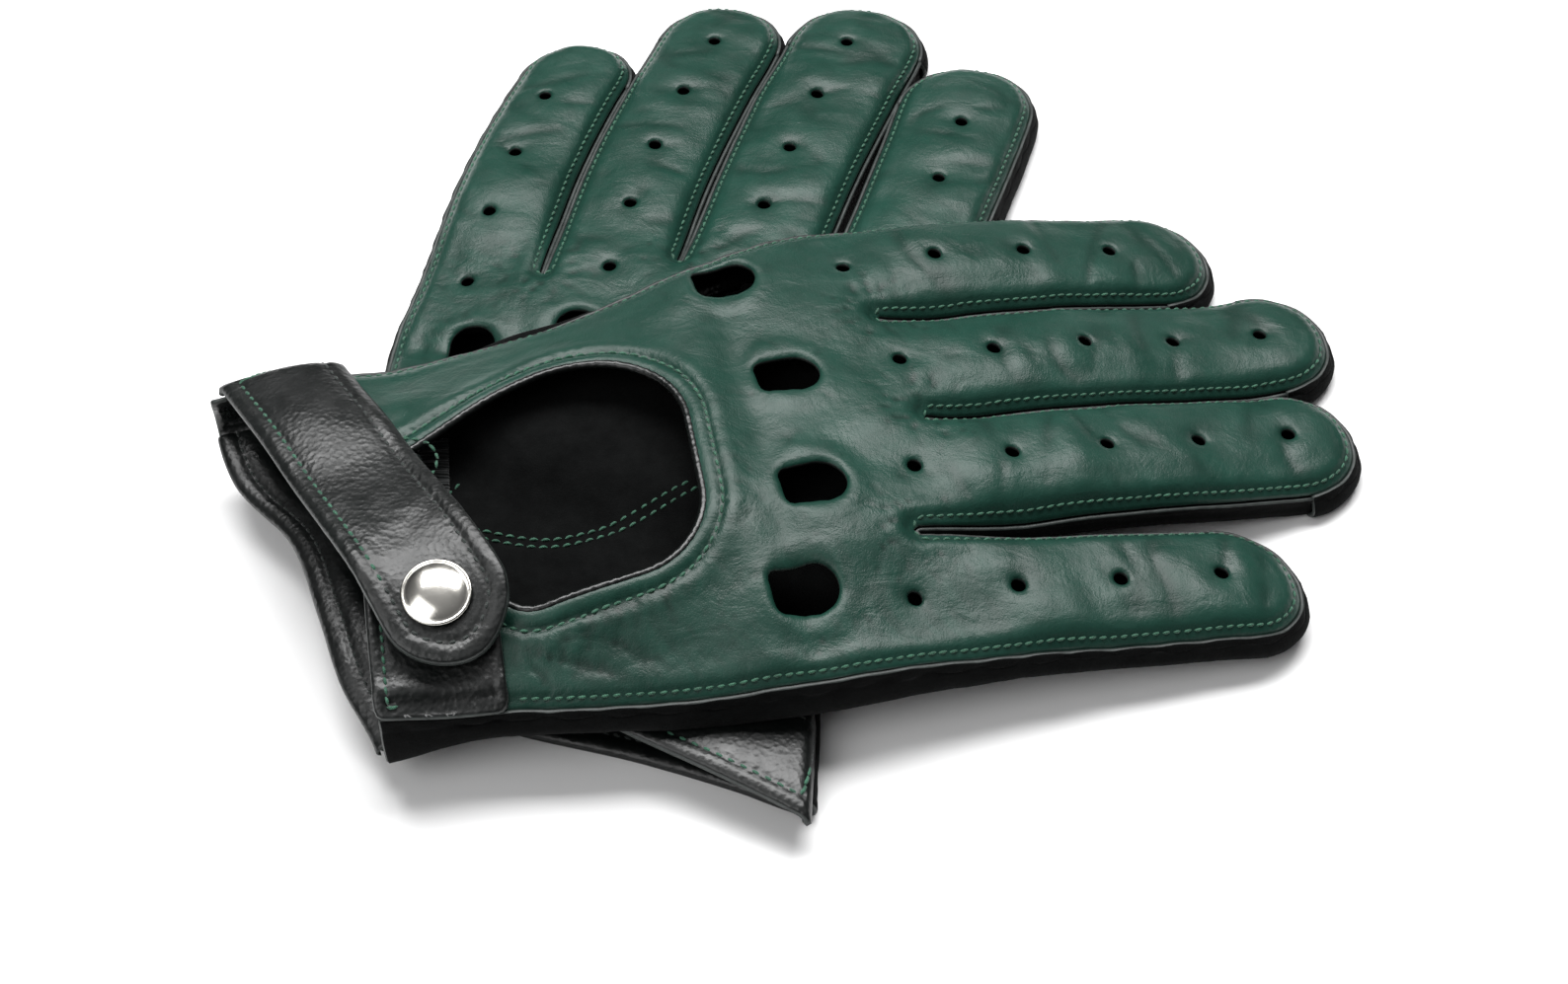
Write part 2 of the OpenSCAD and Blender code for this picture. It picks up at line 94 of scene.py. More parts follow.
# height of the back's edge and of its crown over the underside of the palm
EDGE = {RIGHT: [(0, 16), (10, 14.5), (24, 8.4), (46, 6.7), (68, 8.3), (92, 9.6), (118, 7),
                (132, 5.4), (147, 5.2), (165, 5.8), (215, 6.2)],
        LEFT: [(0, 6.2), (24, 5.2), (44, 7), (60, 7.7), (95, 8), (120, 8.5), (215, 7)]}
CROWN = {RIGHT: [(0, 1.5), (24, 2.6), (46, 9.6), (62, 9.2), (80, 7.6), (98, 5.8), (120, 5),
                 (215, 3.2)],
         LEFT: [(0, 2.2), (24, 2), (60, 3), (100, 4.2), (124, 4), (215, 3.2)]}

# the right glove over the table: along its middle, as a share of the bridge's height, and how
# far it sinks towards the little finger and towards the thumb
BRIDGE, TABLE_CLEAR = 16, 0.4
RIDGE = [(-9, 0.54), (10, 0.76), (25, 1), (46, 0.93), (60, 0.85), (95, 0.81), (118, 0.79),
         (132, 0.82), (145, 0.75), (160, 0.55), (180, 0.22), (197, 0.03)]
DROOP = [(0, 7.5), (25, 6), (46, 3.3), (70, 3.2), (95, 3.3), (118, 3.7), (140, 5.5), (170, 2.7),
         (190, 0.4)]
THUMB_DROOP = [(-9, -3), (10, 0), (25, 3), (55, 0), (85, -2.4), (105, -2.4), (125, -0.6), (140, 0)]
THUMB_THIN = [(-9, 5.5), (15, 3), (40, 0)]
DROOP_FROM, DROOP_RUN = 16, 32

# how the two gloves lie
ORIGIN = {RIGHT: np.array([-91.99, -66.8]), LEFT: np.array([-47.29, -99.2])}
TURN = {RIGHT: math.radians(15.25), LEFT: math.radians(78.4)}
LEFT_SWAY = 11

# seams and stitches
SEAM_INSET = 0.45       # the back's edge inside the glove's outline
STITCH_INSET = 1.35     # the stitches inside the back's edge
STITCH_PITCH, STITCH_LENGTH, STITCH_RADIUS = 2.05, 1.6, 0.3
STITCH_DIP = 0.84       # how far a stitch's ends sink into the leather, in stitch radii
KEY_STITCH, STRAP_STITCH, TAB_STITCH = 3.6, 3.3, 2.2    # rows of stitches inside their edges
BOTTOM_INSET = 2.2      # how far the palm's flat part stays inside the outline
FOURCHETTE_THICK, HEM_THICK, TAB_LIFT = 0.8, 0.5, 0.3
HEM_GROOVE = 9          # the row of the hem's profile that its stitches lie in
UP = (0.0, 0.0, 1.0)


# ---- numbers ----------------------------------------------------------------------------
def smooth(t):
    u = np.clip(t, 0, 1)
    return u * u * (3 - 2 * u)


def curve(x, table):
    """A smooth curve through the table's points."""
    xs, ys = np.array(table, float).T
    slope = np.gradient(ys, xs)
    slope[0] = slope[-1] = 0
    i = np.clip(np.searchsorted(xs, x) - 1, 0, len(xs) - 2)
    h = xs[i + 1] - xs[i]
    t = np.clip((x - xs[i]) / h, 0, 1)
    return (ys[i] * (1 + 2 * t) * (1 - t) ** 2 + h * slope[i] * t * (1 - t) ** 2
            + ys[i + 1] * t * t * (3 - 2 * t) + h * slope[i + 1] * t * t * (t - 1))


def turned(x, y, angle):
    c, s = math.cos(angle), math.sin(angle)
    return x * c - y * s, x * s + y * c


def noise(x, y, seed=0):
    """Smooth noise from -1 to 1, with one bump a unit."""
    def corner(i, j):
        n = (i * 374761393 + j * 668265263 + (seed + SEED) * 1442695041) & 0xFFFFFFFF
        n = ((n ^ (n >> 13)) * 1274126177) & 0xFFFFFFFF
        a = (n ^ (n >> 16)) / 2 ** 32 * 2 * math.pi
        return np.cos(a) * (x - i) + np.sin(a) * (y - j)
    i, j = np.floor(x).astype(np.int64), np.floor(y).astype(np.int64)
    u, v = x - i, y - j
    u, v = u ** 3 * (u * (u * 6 - 15) + 10), v ** 3 * (v * (v * 6 - 15) + 10)
    low = corner(i, j) * (1 - u) + corner(i + 1, j) * u
    high = corner(i, j + 1) * (1 - u) + corner(i + 1, j + 1) * u
    return 1.5 * (low * (1 - v) + high * v)


def crease(n, width):
    """1 along the lines where n is 0, falling to 0 beside them."""
    return np.exp(-(n / width) ** 2)


def bell(d, width):
    return np.exp(-(d / width) ** 2)


# ---- heights ----------------------------------------------------------------------------
def bent(side, x):
    return LEFT_SWAY * np.maximum(0, 1 - x / 110) ** 2 if side == LEFT else 0 * x


def pinky_y(x):
    return curve(x, PINKY_SIDE + [(116, -53)])


def thumb_y(x):
    return curve(x, THUMB_SIDE + [(112, 54.5), (126, 55)])


def base_z(side, x, y):
    """Height of what the glove lies on."""
    if side == LEFT:
        return 0 * x
    low = curve(x, DROOP) * smooth((-y - DROOP_FROM) / DROOP_RUN)
    high = curve(x, THUMB_DROOP) * smooth((y - DROOP_FROM) / DROOP_RUN)
    return np.maximum(TABLE_CLEAR, BRIDGE * curve(x, RIDGE) - low - high)


def off_thumb(x, y):
    run = THUMB_TIP - THUMB_ROOT
    t = np.clip(((x - THUMB_ROOT[0]) * run[0] + (y - THUMB_ROOT[1]) * run[1]) / (run @ run), 0, 1)
    return np.hypot(x - THUMB_ROOT[0] - t * run[0], y - THUMB_ROOT[1] - t * run[1]) - THUMB_HALF_WIDTH


def palm_z(side, x, y):
    return base_z(side, x, y) + (THUMB_HEIGHT + 0.25) * (1 - smooth((off_thumb(x, y) - 1) / THUMB_FADE))


def edge_z(side, x, y):
    thin = curve(x, THUMB_THIN) * smooth((y - DROOP_FROM) / DROOP_RUN) if side == RIGHT else 0
    return base_z(side, x, y) + curve(x, EDGE[side]) - thin


def finger_uw(side, i, x, y):
    """A point in finger i's own frame: along it from its root, and across it."""
    return x - FINGER_ROOT[i], y - curve(x, MIDDLE[side][i])


def finger_xy(side, i, u, w):
    x = u + FINGER_ROOT[i]
    return x, w + curve(x, MIDDLE[side][i])


def finger_reach(side, i):
    """Distance from a finger's root to the middle of its round tip."""
    return FINGER_LENGTH[side][i] - TIP_HALF_WIDTH[side][i]


def half_width(side, i, u):
    t = np.clip(u / WIDTH_RUN, 0, 1)
    return FINGER_HALF_WIDTH[i] * (1 - t) + TIP_HALF_WIDTH[side][i] * t


def crown_z(side, x, y):
    high, low = thumb_y(x), pinky_y(x)
    across = np.abs((y - (high + low) / 2) / ((high - low) / 2))
    palm = 1 - np.minimum(1, across) ** 2.4
    fingers = []
    for i in range(4):
        u, w = finger_uw(side, i, x, y)
        over = np.maximum(0, u - finger_reach(side, i))
        fingers.append(np.hypot(w / half_width(side, i, u), over / TIP_HALF_WIDTH[side][i]))
    finger = 1 - np.minimum(1, np.min(fingers, 0)) ** 2.6
    t = smooth((x - PALM_REACH) / CROWN_BLEND)
    return curve(x, CROWN[side]) * (palm * (1 - t) + finger * t)


def back_z(side, x, y):
    return edge_z(side, x, y) + crown_z(side, x, y)


def place(side, x, y, z):
    """Points of a glove's own frame, laid on the table, in metres."""
    v = y + bent(side, x)
    wx, wy = turned(x, v if side == RIGHT else -v, TURN[side])
    return np.stack([wx + ORIGIN[side][0], wy + ORIGIN[side][1], z + 0 * x], -1) * MM


# ---- flat outlines ----------------------------------------------------------------------
def resample(points, step, closed=False):
    p = np.array(points, float)
    if closed:
        p = np.vstack([p, p[:1]])
    run = np.concatenate([[0], np.cumsum(np.linalg.norm(np.diff(p, axis=0), axis=1))])
    n = max(2, int(round(run[-1] / step)) + 1)
    at = np.linspace(0, run[-1], n)
    q = np.stack([np.interp(at, run, p[:, k]) for k in range(p.shape[1])], 1)
    return q[:-1] if closed else q


def spline(points, per=12):
    """A smooth curve through points."""
    p = np.array(points, float)
    p = np.vstack([2 * p[0] - p[1], p, 2 * p[-1] - p[-2]])
    out = []
    for a, b, c, d in zip(p, p[1:], p[2:], p[3:]):
        for t in np.linspace(0, 1, per, endpoint=False):
            out.append(0.5 * (2 * b + (c - a) * t + (2 * a - 5 * b + 4 * c - d) * t * t
                              + (3 * b - a - 3 * c + d) * t ** 3))
    return np.array(out + [p[-2]])


def inward(points, closed=True):
    """Unit vectors to the right of a path, which is inside where it runs clockwise."""
    if closed:
        d = np.roll(points, -1, 0) - np.roll(points, 1, 0)
    else:
        d = np.gradient(points, axis=0)
    d /= np.linalg.norm(d, axis=1, keepdims=True) + 1e-9
    return np.stack([d[:, 1], -d[:, 0]], 1)


def outline(side, step=1.15):
    """The glove's outline, clockwise from the thumb side of the wrist, in pieces:
    [(kind, points)], where kind is side, slit0, slit1, slit2 or wrist."""
    def along(i, sign, us):
        us = np.array(us, float)
        return np.stack(finger_xy(side, i, us, sign * half_width(side, i, us)), 1)

    def tip(i):
        reach, r = finger_reach(side, i), TIP_HALF_WIDTH[side][i]
        a = np.linspace(math.pi / 2, -math.pi / 2, 25)
        blunt = 1 - 0.06 * np.sin(2 * a) ** 2
        return np.stack(finger_xy(side, i, reach + r * np.cos(a) / blunt ** 0.5,
                                  r * np.sin(a)), 1)

    def slit(i):
        """From the tip of finger i back to the crotch and out along the next finger."""
        reach = [finger_reach(side, k) for k in (i, i + 1)]
        start = [CROTCH[i][0] - FINGER_ROOT[k] for k in (i, i + 1)]
        out = along(i, -1, np.linspace(reach[0], start[0], 30))
        back = along(i + 1, 1, np.linspace(start[1], reach[1], 30))
        a, b = out[-1], back[0]
        middle, radius = (a + b) / 2, max(0.35, np.linalg.norm(a - b) / 2)
        bend = [middle + radius * np.array([-math.sin(t), math.cos(t)]) for t in
                np.linspace(0.3, math.pi - 0.3, 6)]
        return np.vstack([out[:-1], bend, back[1:]])

    high = [RIM[side][-1]] + [p for p in THUMB_SIDE if p[0] > 20]
    up = spline(high + [tuple(along(0, 1, [1])[0]), tuple(along(0, 1, [26])[0])])
    down = spline([tuple(along(3, -1, [26])[0]), tuple(along(3, -1, [3])[0])] + PINKY_SIDE[::-1])
    reach = [finger_reach(side, i) for i in range(4)]
    first = np.vstack([up, along(0, 1, np.linspace(28, reach[0], 12)), tip(0)[1:]])
    last = np.vstack([tip(3), along(3, -1, np.linspace(reach[3], 28, 12))[1:], down])
    parts = [("side", first), ("slit0", slit(0)), ("side", tip(1)), ("slit1", slit(1)),
             ("side", tip(2)), ("slit2", slit(2)), ("side", last),
             ("wrist", spline(RIM[side]))]
    return [(kind, resample(p, step)) for kind, p in parts]


def body_edge(pieces):
    """The outline from the thumb side of the wrist round to its little-finger side."""
    return np.vstack([p[:-1] for kind, p in pieces if kind != "wrist"])


def belt(circles, start, end):
    """The line pulled tight round circles taken counter-clockwise, from one point to another."""
    stops = [(*start, 0)] + list(circles) + [(*end, 0)]
    angles = []
    for a, b in zip(stops, stops[1:]):
        d = math.dist(a[:2], b[:2])
        angles.append(math.atan2(b[1] - a[1], b[0] - a[0]) - math.acos((a[2] - b[2]) / d))
    points = [start]
    for (cx, cy, r), before, after in zip(circles, angles, angles[1:]):
        turn = (after - before) % (2 * math.pi)
        for t in np.linspace(before, before + turn, max(3, int(r * turn))):
            points.append((cx + r * math.cos(t), cy + r * math.sin(t)))
    return np.array(points + [end])


def wrist_x(side, y):
    """The palm's rim at the wrist."""
    return curve(y, [(b, a) for a, b in RIM[side]])


def keyhole_path(side, step=1.0):
    """Round the keyhole from the wrist's little-finger side to its thumb side."""
    corner = (21.5, -9.6)
    path = belt(KEYHOLE, corner, (BACK_WRIST_HIGH[0], MOUTH_HIGH))
    lead = np.array([(BACK_WRIST_LOW[0], MOUTH_LOW), (16, -10.2)])
    run_in = path[0] + (path[1] - path[0]) * 0.2
    bend = [(1 - t) ** 2 * lead[-1] + 2 * t * (1 - t) * np.array(corner) + t * t * run_in
            for t in np.linspace(0, 1, 7)]
    return resample(np.vstack([lead[:1], bend, path[1:]]), step)


def knuckle_loop(centre, step=0.9):
    """A hole that is round towards the fingers and square, with soft corners, to the wrist."""
    r, s = KNUCKLE_WIDTH / 2, 1.8
    nose = KNUCKLE_LENGTH / 2 - r
    back_x, back_y = s - KNUCKLE_LENGTH / 2, r - s - 0.5
    loop = []
    for x, y, radius, low, high in ((nose, 0, r, -90, 90), (back_x, back_y, s, 95, 180),
                                    (back_x, -back_y, s, 180, 265)):
        for a in np.radians(np.linspace(low, high, 24)):
            loop.append((x + radius * math.cos(a), y + radius * math.sin(a)))
    return resample(np.array(loop) + np.array(centre), step, closed=True)


def ring(centre, radius, n=14):
    a = np.arange(n) * 2 * math.pi / n
    return np.stack([centre[0] + radius * np.cos(a), centre[1] + radius * np.sin(a)], 1)


def air_holes(side):
    holes = []
    for i in range(4):
        for k in range(AIR_COUNT[i]):
            x = AIR_START[i] + k * AIR_PITCH[side]
            holes.append((x, float(curve(np.array(x), MIDDLE[side][i])) + AIR_SHIFT[side][i]))
    return holes


def nearest(x, y, path, chunk=4000):
    """Distance from each point to a finely sampled path, and the number of the sample."""
    x, y = np.ravel(x), np.ravel(y)
    best, at = np.empty(len(x)), np.empty(len(x), int)
    for k in range(0, len(x), chunk):
        d = ((x[k:k + chunk, None] - path[None, :, 0]) ** 2
             + (y[k:k + chunk, None] - path[None, :, 1]) ** 2)
        at[k:k + chunk] = d.argmin(1)
        best[k:k + chunk] = np.sqrt(d.min(1))
    return best, at


def contains(points, loop, chunk=6000):
    x0, y0 = loop[:, 0], loop[:, 1]
    x1, y1 = np.roll(x0, -1), np.roll(y0, -1)
    inside = np.zeros(len(points), bool)
    for k in range(0, len(points), chunk):
        px, py = points[k:k + chunk, 0, None], points[k:k + chunk, 1, None]
        cross = (y0 > py) != (y1 > py)
        with np.errstate(divide="ignore", invalid="ignore"):
            hit = cross & (px < (x1 - x0) * (py - y0) / (y1 - y0) + x0)
        inside[k:k + chunk] = hit.sum(1) % 2 == 1
    return inside


def within(points, outer, holes):
    """Which points are inside an outline and outside its holes."""
    ok = contains(points, outer)
    for hole in holes:
        ok &= ~contains(points, hole)
    return ok


def fill(outer, holes=(), rows=(), spacing=1.2, row_gap=0.42):
    """Triangles that fill an outline, with extra rows of points along the edges that need them."""
    loops = [outer, *holes]
    low, high = outer.min(0), outer.max(0)
    xs = np.arange(low[0], high[0], spacing)
    ys = np.arange(low[1], high[1], spacing * 0.866)
    gx, gy = np.meshgrid(xs, ys)
    gx[1::2] += spacing / 2
    lattice = np.stack([gx.ravel(), gy.ravel()], 1)
    rng = np.random.default_rng(SEED)
    lattice += rng.uniform(-0.12, 0.12, lattice.shape) * spacing
    edge = np.vstack(loops)
    kept = list(edge)
    extra = [row for row in rows if len(row)]
    if extra:
        extra = np.vstack(extra)
        extra = extra[within(extra, outer, holes)]
        extra = extra[nearest(extra[:, 0], extra[:, 1], edge)[0] > row_gap * 0.8]
        kept += list(extra)
    lattice = lattice[within(lattice, outer, holes)]
    near = nearest(lattice[:, 0], lattice[:, 1], np.array(kept))[0]
    kept += list(lattice[near > spacing * 0.55])
    edges, first = [], 0
    for loop in loops:
        n = len(loop)
        edges += [(first + k, first + (k + 1) % n) for k in range(n)]
        first += n
    made = delaunay_2d_cdt([Vector(p) for p in kept], edges, [], 0, 1e-4)
    points = np.array([tuple(p) for p in made[0]])
    tris = np.array([f for f in made[2] if len(f) == 3])
    tris = tris[within(points[tris].mean(1), outer, holes)]
    a, b, c = (points[tris[:, k]] for k in range(3))
    area = np.cross(b - a, c - a)
    tris = tris[np.abs(area) > 1e-6]
    area = area[np.abs(area) > 1e-6]
    tris[area < 0] = tris[area < 0][:, ::-1]
    return points, tris


# ---- meshes -----------------------------------------------------------------------------
def vertex_normals(points, faces):
    normals = np.zeros_like(points)
    for face in faces:
        a, b, c = (points[face[:, k]] for k in range(3))
        n = np.cross(b - a, c - a)
        if face.shape[1] == 4:
            n += np.cross(c - a, points[face[:, 3]] - a)
        for k in range(face.shape[1]):
            np.add.at(normals, face[:, k], n)
    return normals / (np.linalg.norm(normals, axis=1, keepdims=True) + 1e-12)


def thicken(points, faces, thick, bulge=0.35):
    """A skin's outer face, inner face and rounded edge. Returns points, faces and, for each
    face, 0 for outside, 1 for inside and 2 for the edge."""
    faces = [f for f in faces if len(f)]
    normals = vertex_normals(points, faces)
    n = len(points)
    inner = points - normals * thick
    edges = np.vstack([np.stack([f[:, k], f[:, (k + 1) % f.shape[1]]], 1) for f in faces
                       for k in range(f.shape[1])])
    key = np.sort(edges, 1)
    _, first, count = np.unique(key[:, 0] * n + key[:, 1], return_index=True, return_counts=True)
    rim = edges[first[count == 1]]
    along = points[rim[:, 1]] - points[rim[:, 0]]
    out = np.cross(along, normals[rim[:, 0]] + normals[rim[:, 1]])
    out /= np.linalg.norm(out, axis=1, keepdims=True) + 1e-12
    push = np.zeros_like(points)
    for k in (0, 1):
        np.add.at(push, rim[:, k], out)
    push /= np.linalg.norm(push, axis=1, keepdims=True) + 1e-12
    border = np.unique(rim)
    number = np.full(n, -1)
    number[border] = np.arange(len(border)) + 2 * n
    middle = (points + inner)[border] / 2 + push[border] * thick * bulge
    allpoints = np.vstack([points, inner, middle])
    a, b = rim[:, 0], rim[:, 1]
    made, kinds = [], []
    for f in faces:
        made += [f, f[:, ::-1] + n]
        kinds += [np.zeros(len(f), int), np.ones(len(f), int)]
    made += [np.stack([b, a, number[a], number[b]], 1),
             np.stack([number[b], number[a], a + n, b + n], 1)]
    kinds += [np.full(len(rim), 2)] * 2
    return allpoints, made, kinds


def grid_quads(grid):
    """Quads over a grid of point numbers."""
    a, b, c, d = grid[:-1, :-1], grid[:-1, 1:], grid[1:, 1:], grid[1:, :-1]
    return np.stack([a, b, c, d], -1).reshape(-1, 4)


def row_quads(rows):
    """Quads over rows of points, numbered row by row."""
    m, n = rows.shape[:2]
    return grid_quads(np.arange(m * n).reshape(m, n))


def mesh_piece(name, points, faces, materials, kinds=None, attribute=None, flip=False):
    """A Blender object from points in metres and lists of triangles or quads."""
    faces = [f for f in faces if len(f)]
    loops = np.concatenate([(f[:, ::-1] if flip else f).ravel() for f in faces])
    sizes = np.concatenate([np.full(len(f), f.shape[1]) for f in faces])
    mesh = bpy.data.meshes.new(name)
    mesh.vertices.add(len(points))
    mesh.vertices.foreach_set("co", np.asarray(points, np.float32).ravel())
    mesh.loops.add(len(loops))
    mesh.loops.foreach_set("vertex_index", loops.astype(np.int32))
    mesh.polygons.add(len(sizes))
    starts = np.concatenate([[0], np.cumsum(sizes)[:-1]])
    mesh.polygons.foreach_set("loop_start", starts.astype(np.int32))
    for material in materials:
        mesh.materials.append(material)
    if kinds is not None:
        index = np.concatenate(kinds)
        mesh.polygons.foreach_set("material_index",
                                  np.minimum(index, len(materials) - 1).astype(np.int32))
    mesh.polygons.foreach_set("use_smooth", np.ones(len(sizes), bool))
    # the fold attribute is a painted-shade mask: the leather materials darken their colour with it
    if attribute is not None:
        layer = mesh.attributes.new("fold", "FLOAT", "POINT")
        layer.data.foreach_set("value", np.asarray(attribute, np.float32))
    mesh.update(calc_edges=True)
    mesh.validate()
    piece = bpy.data.objects.new(name, mesh)
    bpy.context.scene.collection.objects.link(piece)
    return piece


def skin(name, side, points, faces, thick, materials, fold):
    """A leather piece from its outer face, in the glove's own frame. Fold is how deep in a fold each
    point is, and darkens the leather's colour there as painted shade."""
    allpoints, made, kinds = thicken(points, faces, thick)
    x, y, z = allpoints.T
    depth = np.concatenate([fold, np.zeros(len(allpoints) - len(points))])
    return mesh_piece(name, place(side, x, y, z), made, materials, kinds, depth,
                      flip=side == LEFT)


def sweep(path, normals, profile, closed=False):
    """A tube along a path: profile is a list of (across, up) offsets."""
    path = np.asarray(path, float)
    if closed:
        tangent = np.roll(path, -1, 0) - np.roll(path, 1, 0)
    else:
        tangent = np.gradient(path, axis=0)
    tangent /= np.linalg.norm(tangent, axis=1, keepdims=True) + 1e-12
    across = np.cross(normals, tangent)
    across /= np.linalg.norm(across, axis=1, keepdims=True) + 1e-12
    up = np.cross(tangent, across)
    profile = np.asarray(profile, float)
    m, n = len(profile), len(path)
    points = (path[:, None] + across[:, None] * profile[None, :, :1]
              + up[:, None] * profile[None, :, 1:]).reshape(-1, 3)
    quads = []
    for i in range(n if closed else n - 1):
        a, b = i * m, (i + 1) % n * m
        for k in range(m):
            j = (k + 1) % m
            quads.append((a + k, a + j, b + j, b + k))
    faces = [np.array(quads)]
    if not closed:
        ends = [points[:m].mean(0), points[-m:].mean(0)]
        points = np.vstack([points, ends])
        k = np.arange(m)
        j = (k + 1) % m
        last = (n - 1) * m
        faces.append(np.stack([0 * k + n * m, j, k], 1))
        faces.append(np.stack([0 * k + n * m + 1, last + k, last + j], 1))
    return points, faces


def round_profile(radius, sides=10, flat=1.0):
    a = np.arange(sides) * 2 * math.pi / sides
    return np.stack([radius * np.cos(a), radius * flat * np.sin(a)], 1)


def stitch_row(path, normals, pitch=STITCH_PITCH, length=STITCH_LENGTH, radius=STITCH_RADIUS,
               slant=0.12):
    """Separate stitches along a path in three dimensions: each is a short rounded bar that
    dips into the leather at both ends."""
    path = np.asarray(path, float)
    run = np.concatenate([[0], np.cumsum(np.linalg.norm(np.diff(path, axis=0), axis=1))])
    at = np.arange(pitch / 2, run[-1], pitch)
    rings, sides = 5, 7
    t = np.linspace(-1, 1, rings)
    fat = np.sqrt(1 - (t * 0.93) ** 2)
    a = np.arange(sides) * 2 * math.pi / sides
    points, quads = [], []

    def grab(s, what):
        return np.array([np.interp(s, run, what[:, k]) for k in range(3)])

    for s in at:
        here, normal = grab(s, path), grab(s, normals)
        ahead, behind = grab(s + length / 2, path), grab(s - length / 2, path)
        d = ahead - behind
        d /= np.linalg.norm(d) + 1e-12
        side_way = np.cross(normal, d)
        side_way /= np.linalg.norm(side_way) + 1e-12
        d = d + side_way * slant
        d /= np.linalg.norm(d)
        side_way = np.cross(normal, d)
        up = np.cross(d, side_way)
        first = len(points)
        for tk, f in zip(t, fat):
            middle = here + d * tk * length / 2 - up * (STITCH_DIP * radius * tk * tk)
            for ak in a:
                points.append(middle + (side_way * math.cos(ak) + up * math.sin(ak)) * radius * f)
        for r in range(rings - 1):
            for k in range(sides):
                j = (k + 1) % sides
                quads.append((first + r * sides + k, first + (r + 1) * sides + k,
                              first + (r + 1) * sides + j, first + r * sides + j))
    return np.array(points).reshape(-1, 3), np.array(quads).reshape(-1, 4)


def join(parts):
    """One list of points and faces from several."""
    points, faces, first = [], [], 0
    for p, made in parts:
        points.append(p)
        for f in (made if isinstance(made, list) else [made]):
            if len(f):
                faces.append(np.asarray(f) + first)
        first += len(p)
    return np.vstack(points), faces


